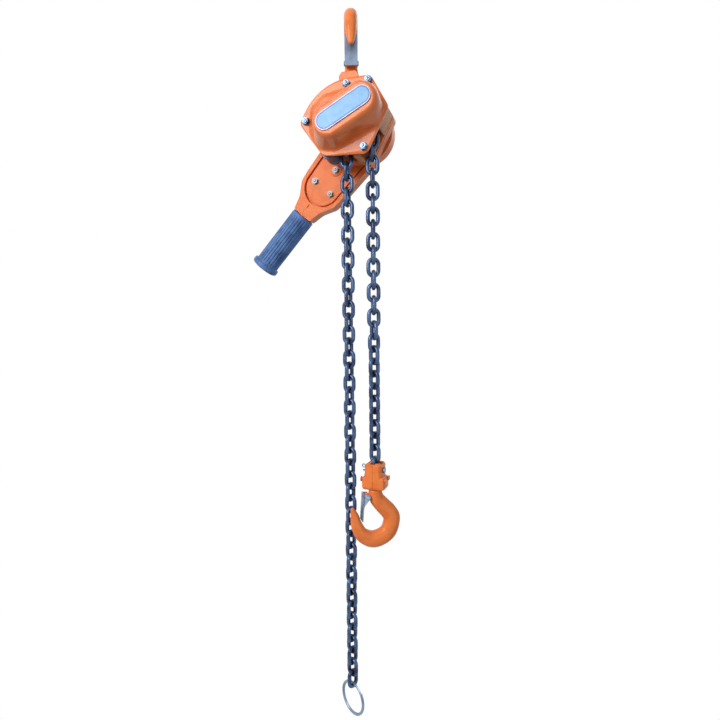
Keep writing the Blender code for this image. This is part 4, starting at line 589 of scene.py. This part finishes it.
def make_lever():
    opening = circle(LEVER_HUB_RADIUS * mm)
    rim = plate([lever_outline(), cover_outline(33.4, 29.9, 129.4, 10.0)], LEVER_IN + 0.2 * mm,
                LEVER_SPLIT)
    floor = plate([lever_outline(1.0), opening], LEVER_SPLIT - 3.5 * mm, LEVER_SPLIT - 0.2 * mm)
    along = Vector((ALONG.x, 0.0, ALONG.y))
    seam = box_at(SHAFT + along * 141 * mm + Vector((0, LEVER_IN + 0.2 * mm, 0)),
                  (1.4 * mm, 3.0 * mm, 18 * mm), 0.0)
    finished("lever_rim", cut(rim, seam), SATIN_PAINT, "lever", ("lever_inner_case",),
             bevel=2.6 * mm, segments=5, angle=50)
    finished("lever_floor", floor, SATIN_PAINT, "lever", (), bevel=0.6 * mm)
    cover = cut(plate([cover_outline(30.6, 27.1, 126.6)], LEVER_IN + 1.2 * mm, LEVER_SPLIT - 1 * mm),
                plate([circle((LEVER_HEAD_RADIUS - 0.3) * mm, steps=64)], LEVER_IN - 2 * mm,
                      LEVER_SPLIT + 2 * mm))
    wedge = box_at(SHAFT + along * 118 * mm + Vector((0, LEVER_IN + 0.2 * mm, 0)),
                   (60 * mm, 4.0 * mm, 22 * mm), math.radians(7.0))
    finished("lever_cover", cut(cover, wedge), SATIN_PAINT, "lever", (), bevel=1.5 * mm,
             segments=4, angle=50)
    head = plate([circle(LEVER_HEAD_RADIUS * mm, steps=72), opening], LEVER_IN + 1.6 * mm,
                 LEVER_SPLIT - 1 * mm)
    finished("lever_head", head, SATIN_PAINT, "lever", (), bevel=1.0 * mm)
    pad_place = SHAFT + along * 67 * mm
    pad = turned(((9.2 * mm, -2.0 * mm), (9.0 * mm, 0.9 * mm), (7.8 * mm, 1.4 * mm)),
                 pad_place + Vector((0, LEVER_IN + 1.2 * mm, 0)), (0, -1, 0))
    finished("lever_bolt_pad", pad, SATIN_PAINT, "lever", (), bevel=0.3 * mm)
    outer = plate([lever_outline(), opening], LEVER_SPLIT + 0.3 * mm, LEVER_OUT)
    finished("lever_back", outer, SATIN_PAINT, "lever", ("lever_outer_case",),
             bevel=3.4 * mm, segments=5, angle=50)
    stem_start = SHAFT + along * STEM_START * mm + Vector((0, LEVER_MIDDLE, 0))
    stem = turned(((8.5 * mm, 0.0), (9.8 * mm, 4 * mm), (9.8 * mm, 16.5 * mm), (12.0 * mm, 17.5 * mm),
                   (12.0 * mm, 100 * mm)), stem_start, along)
    finished("lever_stem", stem, CAST_PAINT, "lever", ())
    for name, place in (("right", (99.5, 16.2)), ("left", (99.5, -16.2)), ("head", (67.0, 0.0))):
        x, z = on_lever(*place)
        y = LEVER_IN + 1.0 * mm if name != "head" else LEVER_IN - 0.4 * mm
        centre = Vector((SHAFT.x + x, 0, SHAFT.z + z))
        bolt = hex_prism(x, z, y - 3.4 * mm, y, 4.9 * mm, 0.4)
        back = hex_prism(x, z, LEVER_OUT + 0.2 * mm, LEVER_OUT + 3.4 * mm, 4.9 * mm, 0.4)
        washer = turned(((5.9 * mm, -0.6 * mm), (5.9 * mm, 0.5 * mm)), centre + Vector((0, y, 0)),
                        (0, -1, 0))
        dimple = turned(((2.4 * mm, 0.0), (2.2 * mm, 0.5 * mm), (1.6 * mm, 0.9 * mm)),
                        centre + Vector((0, y - 3.2 * mm, 0)), (0, -1, 0), 24)
        finished("lever_screw_" + name, merged(bolt, back, washer, dimple), SCREW, "lever",
                 ("lever_bolt_" + name,), bevel=0.45 * mm)


def box_at(centre, size, lean):
    bm = bmesh.new()
    turn = Matrix.Rotation(LEVER_ANGLE, 4, "Y") @ Matrix.Rotation(lean, 4, "X")
    bmesh.ops.create_cube(bm, size=1.0, matrix=Matrix.Translation(centre) @ turn
                          @ Matrix.Diagonal((*size, 1.0)))
    return mesh_of(bm)


def make_grip():
    """Rubber sleeve with lengthwise flutes, a plain collar and a round end flange."""
    along = Vector((ALONG.x, 0.0, ALONG.y))
    start = SHAFT + along * GRIP_START * mm + Vector((0, LEVER_MIDDLE, 0))
    placed = Matrix.Translation(start) @ towards(along)
    steps, flutes = 192, 24
    sleeve, flange, end = 18.4, 21.8, 104.0
    stations = ((12.3, 0.0, 0), (sleeve - 0.9, 0.0, 0), (sleeve - 0.1, 0.5, 0), (sleeve, 3.0, 0),
                (sleeve, 4.5, 0.2), (sleeve, 5.5, 1), (sleeve, 35, 1), (sleeve, 65, 1),
                (sleeve, end - 12.5, 1), (sleeve, end - 11, 0.2), (sleeve, end - 10, 0),
                (sleeve + 0.8, end - 9, 0), (flange - 0.6, end - 8, 0), (flange, end - 6.8, 0),
                (flange, end - 2.4, 0), (flange - 0.5, end - 1, 0), (flange - 1.8, end - 0.2, 0),
                (14.0, end, 0), (6.0, end, 0))
    rings = []
    for radius, height, depth in stations:
        ring = []
        for k in range(steps):
            angle = 2 * math.pi * k / steps
            groove = max(0.0, math.cos(angle * flutes)) ** 3 * 1.4 * depth
            far = (radius - groove) * mm
            ring.append(placed @ Vector((far * math.cos(angle), far * math.sin(angle),
                                         height * mm)))
        rings.append(ring)
    finished("grip_sleeve", lofted(rings), RUBBER, "lever", ("lever_grip",), angle=75)


# --- hooks --------------------------------------------------------------------------------------
HOOK_STATIONS = ((0, 58, 9.6, 9.2), (2.5, 48, 11, 9.0), (11, 37.5, 11.8, 9.0), (19.5, 28, 12.2, 9.2),
                 (24.6, 16.5, 12.2, 9.6), (17.6, -3.4, 12.2, 9.8), (-2.6, -12.2, 12.2, 9.8),
                 (-20.4, -4.4, 10.4, 9.0), (-28.6, 11, 8.3, 7.8), (-31.6, 25, 5.8, 6.0),
                 (-34.6, 34.5, 2.9, 3.4))
LATCH_PIVOT = (-13.0, 52.5)


def spline_point(i, share):
    count = len(HOOK_STATIONS)
    a, b, c, d = (Vector(HOOK_STATIONS[min(max(i + k, 0), count - 1)]) for k in (-1, 0, 1, 2))
    return 0.5 * ((2 * b) + (c - a) * share + (2 * a - 5 * b + 4 * c - d) * share ** 2
                  + (3 * b - a - 3 * c + d) * share ** 3)


def hook_mesh():
    path = []
    for i in range(len(HOOK_STATIONS) - 1):
        for k in range(6):
            path.append(spline_point(i, k / 6) * mm)
    path.append(Vector(HOOK_STATIONS[-1]) * mm)
    sections = [(Vector((0, h * mm)), Vector((0, -1)), r * mm, r * mm)
                for h, r in ((68, 7), (63.2, 7), (62.6, 7.6), (62.4, 9.0), (61.6, 9.7), (60.0, 9.8))]
    for i, point in enumerate(path):
        before, after = path[max(i - 1, 0)], path[min(i + 1, len(path) - 1)]
        tangent = Vector((after[0] - before[0], after[1] - before[1])).normalized()
        sections.append((Vector((point[0], point[1])), tangent, point[2], point[3]))
    tip = sections[-1]
    for ahead, size in ((1.0, 0.86), (1.8, 0.6), (2.3, 0.25)):
        sections.append((tip[0] + tip[1] * ahead * mm, tip[1], tip[2] * size, tip[3] * size))
    rings = []
    for centre, tangent, half_width, half_thick in sections:
        side = Vector((-tangent.y, tangent.x))
        ring = []
        for i in range(32):
            angle = 2 * math.pi * i / 32
            c, s = math.cos(angle), math.sin(angle)
            square = 1.0 + 0.06 * abs(math.sin(2 * angle))
            across = side * c * half_width * square
            ring.append((centre.x + across.x, s * half_thick * square, centre.y + across.y))
        rings.append(ring)
    x, z = (value * mm for value in LATCH_PIVOT)
    lug = turned(((3.6 * mm, -6.8 * mm), (4.2 * mm, -6.2 * mm), (4.2 * mm, 6.2 * mm),
                  (3.6 * mm, 6.8 * mm)), (x, 0, z), (0, 1, 0))
    web = box_mesh((x, -4.4 * mm, z - 4.0 * mm), (x + 8 * mm, 4.4 * mm, z + 4.0 * mm))
    return merged(lofted(rings), lug, web)


def box_mesh(low, high):
    low, high = Vector(low), Vector(high)
    bm = bmesh.new()
    bmesh.ops.create_cube(bm, size=1.0, matrix=Matrix.Translation((low + high) / 2)
                          @ Matrix.Diagonal((*(high - low), 1.0)))
    return mesh_of(bm)


def latch_mesh():
    """Pressed strip with a ribbed back and two ears round the lug."""
    half = 9.0 * mm
    sheet = 1.6 * mm
    x, z = (value * mm for value in LATCH_PIVOT)
    top, bottom = 57.0 * mm, 16.8 * mm
    face = -19.2 * mm
    strip = box_mesh((face, -half, bottom), (face + sheet, half, top))
    bead = box_mesh((face - 0.1 * mm, -2.0 * mm, bottom + 4 * mm),
                    (face + 0.2 * mm, 2.0 * mm, top - 9 * mm))
    ears = []
    for side in (1, -1):
        outline = [(face + 0.4 * mm, top), (x + 2.0 * mm, z + 4.2 * mm), (x + 3.6 * mm, z + 2.2 * mm),
                   (x + 3.9 * mm, z - 1.0 * mm), (x + 2.2 * mm, z - 4.0 * mm),
                   (face + 2.4 * mm, z - 12 * mm), (face + 0.4 * mm, z - 20 * mm)]
        low, high = (half - sheet, half) if side == 1 else (-half, -half + sheet)
        ears.append(plate([outline], low, high, Vector((0, 0, 0))))
    pin = turned(((2.6 * mm, -half - 1.5 * mm), (3.4 * mm, -half - 1.0 * mm), (3.4 * mm, -half - 0.1 * mm),
                  (2.1 * mm, -half), (2.1 * mm, half), (3.4 * mm, half + 0.1 * mm),
                  (3.4 * mm, half + 1.0 * mm), (2.6 * mm, half + 1.5 * mm)), (x, 0, z), (0, 1, 0))
    lean = Matrix.Translation((x, 0, z)) @ Matrix.Rotation(math.radians(4.0), 4, "Y")
    latch = merged(strip, bead, *ears, pin)
    latch.transform(lean @ Matrix.Translation((-x, 0, -z)))
    return latch


def joint_of(name):
    return next(row for row in frame["record"]["behaviour"]["joints"] if row["name"] == name)


LOAD_X = sheave_joint(0).x
CHAIN_PIN_Z = sheave_joint(0).z - PITCH * (LOAD_HELD + LOAD_UPPER + LOAD_LOWER) + WIRE / 2
LOAD_SADDLE = Vector((LOAD_X, 0.0, CHAIN_PIN_Z - 29.0 * mm - 62.5 * mm))
LATCH_AXIS = joint_of("top_latch_open")["axis"]
TOP_TURN = math.atan2(-LATCH_AXIS[1], -LATCH_AXIS[0])
TOP_PLACE = Matrix.Rotation(math.radians(90.0) + TOP_TURN, 4, "Z") @ Matrix.Rotation(math.pi, 4, "X")
LOAD_PLACE = Matrix.Translation(LOAD_SADDLE) @ Matrix.Rotation(math.radians(27.0), 4, "Z")


def make_hooks():
    for name, place, body, latch_body in (("top", TOP_PLACE, "support", "top_latch"),
                                          ("load", LOAD_PLACE, "load_hook", "load_latch")):
        hook, latch = hook_mesh(), latch_mesh()
        hook.transform(place)
        latch.transform(place)
        finished(name + "_hook_look", hook, CAST_PAINT, body, (name + "_hook",),
                 angle=60)
        finished(name + "_latch_look", latch, ZINC, latch_body, (name + "_latch",),
                 bevel=0.35 * mm, segments=2)


# --- end ring -----------------------------------------------------------------------------------
def make_end_ring():
    """Split ring: one wire that laps itself twice."""
    low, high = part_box("end_ring")
    centre = (Vector(low) + Vector(high)) / 2
    wire = 1.2 * mm
    radius = (high[2] - low[2]) / 2 - 1.8 * wire
    turn = math.radians(-36.0)
    across = Vector((math.cos(turn), math.sin(turn), 0.0))
    normal = Vector((-math.sin(turn), math.cos(turn), 0.0))
    rings = []
    steps = 128
    for k in range(steps * 2 - 10):
        angle = math.radians(70.0) + 2 * math.pi * k / steps
        side = (2.0 * k / (steps * 2 - 10) - 1.0) * wire
        outward = across * math.cos(angle) + Vector((0, 0, 1)) * math.sin(angle)
        middle = centre + outward * radius + normal * side
        rings.append([middle + (outward * math.cos(2 * math.pi * j / 12) * 1.7
                                + normal * math.sin(2 * math.pi * j / 12)) * wire for j in range(12)])
    finished("split_ring", lofted(rings), ZINC, "end_ring", ("end_ring",), angle=80)


def look_at_nodes():
    body_of = {node: body for body, names in frame["record"]["behaviour"]["bodies"].items()
               for node in names}
    slots = {row["node"]: row["material_slot"] for row in frame["record"]["subparts"]}
    # chain_steel pieces left as CAD nodes take the dark steel whose colour carries painted shade and
    # painted reflection
    by_slot = {"orange_paint": CAST_PAINT, "zinc_steel": ZINC, "chain_steel": SHADED_DARK_STEEL,
               "machined_steel": MACHINED, "dark_rubber": RUBBER, "friction_lining": LINING,
               "plate_blue": PLATE_BLUE}
    rounded_nodes = {"gear_side_plate": 0.5, "brake_side_plate": 0.5, "brake_cover": 0.5,
                     "hook_yoke_left": 0.6, "hook_yoke_right": 0.6, "top_yoke_front": 0.7,
                     "top_yoke_back": 0.7, "side_guard": 0.3, "hand_wheel": 0.4, "guide_roller": 0.5,
                     "yoke_bolt_front": 0.5, "yoke_bolt_back": 0.5, "selector_knob": 0.4,
                     "stay_bolt_right": 0.3, "stay_bolt_left": 0.3, "top_pin": 0.3,
                     "chain_pin": 0.3, "shaft_nut": 0.4}
    for node, obj in NODES.items():
        if obj.hide_render:
            continue
        material = NODE_LOOKS.get(node, by_slot[slots[node]])
        if node in rounded_nodes:
            piece = softened(node, material, body_of[node], rounded_nodes[node] * mm)
            continue
        if not obj.material_slots:
            obj.data.materials.append(material)
        for place in obj.material_slots:
            place.link = "OBJECT"
            place.material = material


# --- stage, light and camera ----------------------------------------------------------------------
def make_world():
    world = bpy.data.worlds.new("studio")
    bpy.context.scene.world = world
    world.use_nodes = True
    nodes, links = world.node_tree.nodes, world.node_tree.links
    background = nodes["Background"]
    background.inputs["Color"].default_value = (0.78, 0.88, 1.0, 1.0)
    background.inputs["Strength"].default_value = 0.36
    white = nodes.new("ShaderNodeBackground")
    white.inputs["Color"].default_value = (1.0, 1.0, 1.0, 1.0)
    path = nodes.new("ShaderNodeLightPath")
    mix = nodes.new("ShaderNodeMixShader")
    seen = path.outputs["Is Camera Ray"]
    for ray in ("Is Glossy Ray", "Is Transmission Ray"):
        either = nodes.new("ShaderNodeMath")
        either.operation = "MAXIMUM"
        links.new(seen, either.inputs[0])
        links.new(path.outputs[ray], either.inputs[1])
        seen = either.outputs["Value"]
    links.new(seen, mix.inputs["Fac"])
    links.new(background.outputs["Background"], mix.inputs[1])
    links.new(white.outputs["Background"], mix.inputs[2])
    links.new(mix.outputs["Shader"], nodes["World Output"].inputs["Surface"])


def make_lamp(name, place, target, size, power, colour):
    lamp = bpy.data.lights.new(name, "AREA")
    lamp.shape = "DISK"
    lamp.size = size
    lamp.energy = power
    lamp.color = colour
    obj = bpy.data.objects.new(name, lamp)
    obj.location = place
    obj.rotation_euler = (Vector(target) - Vector(place)).to_track_quat("-Z", "Y").to_euler()
    bpy.context.scene.collection.objects.link(obj)


def make_camera():
    camera = bpy.data.cameras.new("camera")
    camera.lens = 27.45
    camera.sensor_width = 36.0
    camera.clip_start = 0.01
    obj = bpy.data.objects.new("camera", camera)
    turn = math.radians(15.2)
    pitch = math.radians(3.49)
    look = Vector((-math.sin(turn) * math.cos(pitch), math.cos(turn) * math.cos(pitch),
                   -math.sin(pitch)))
    roll = Matrix.Rotation(math.radians(0.59), 4, look)
    obj.matrix_world = (Matrix.Translation((0.2182, -0.772, -0.4185)) @ roll
                        @ look.to_track_quat("-Z", "Y").to_matrix().to_4x4())
    bpy.context.scene.collection.objects.link(obj)
    bpy.context.scene.camera = obj


def make_stage():
    bpy.context.scene.view_settings.view_transform = "Standard"
    make_world()
    middle = (0.0, 0.0, -0.3)
    make_lamp("key", (-0.95, -1.95, 0.6), middle, 1.5, 52.0, (1.0, 0.98, 0.95))
    make_lamp("fill", (1.4, -1.7, -0.6), middle, 1.2, 6.0, (0.95, 0.97, 1.0))
    make_lamp("back", (0.6, 1.4, 0.6), middle, 1.4, 4.0, (1.0, 1.0, 1.0))


make_chains()
make_gear_cover()
make_name_plate()
make_fixings()
make_stud_ends()
make_lever()
make_grip()
make_hooks()
make_end_ring()
look_at_nodes()
make_stage()
make_camera()
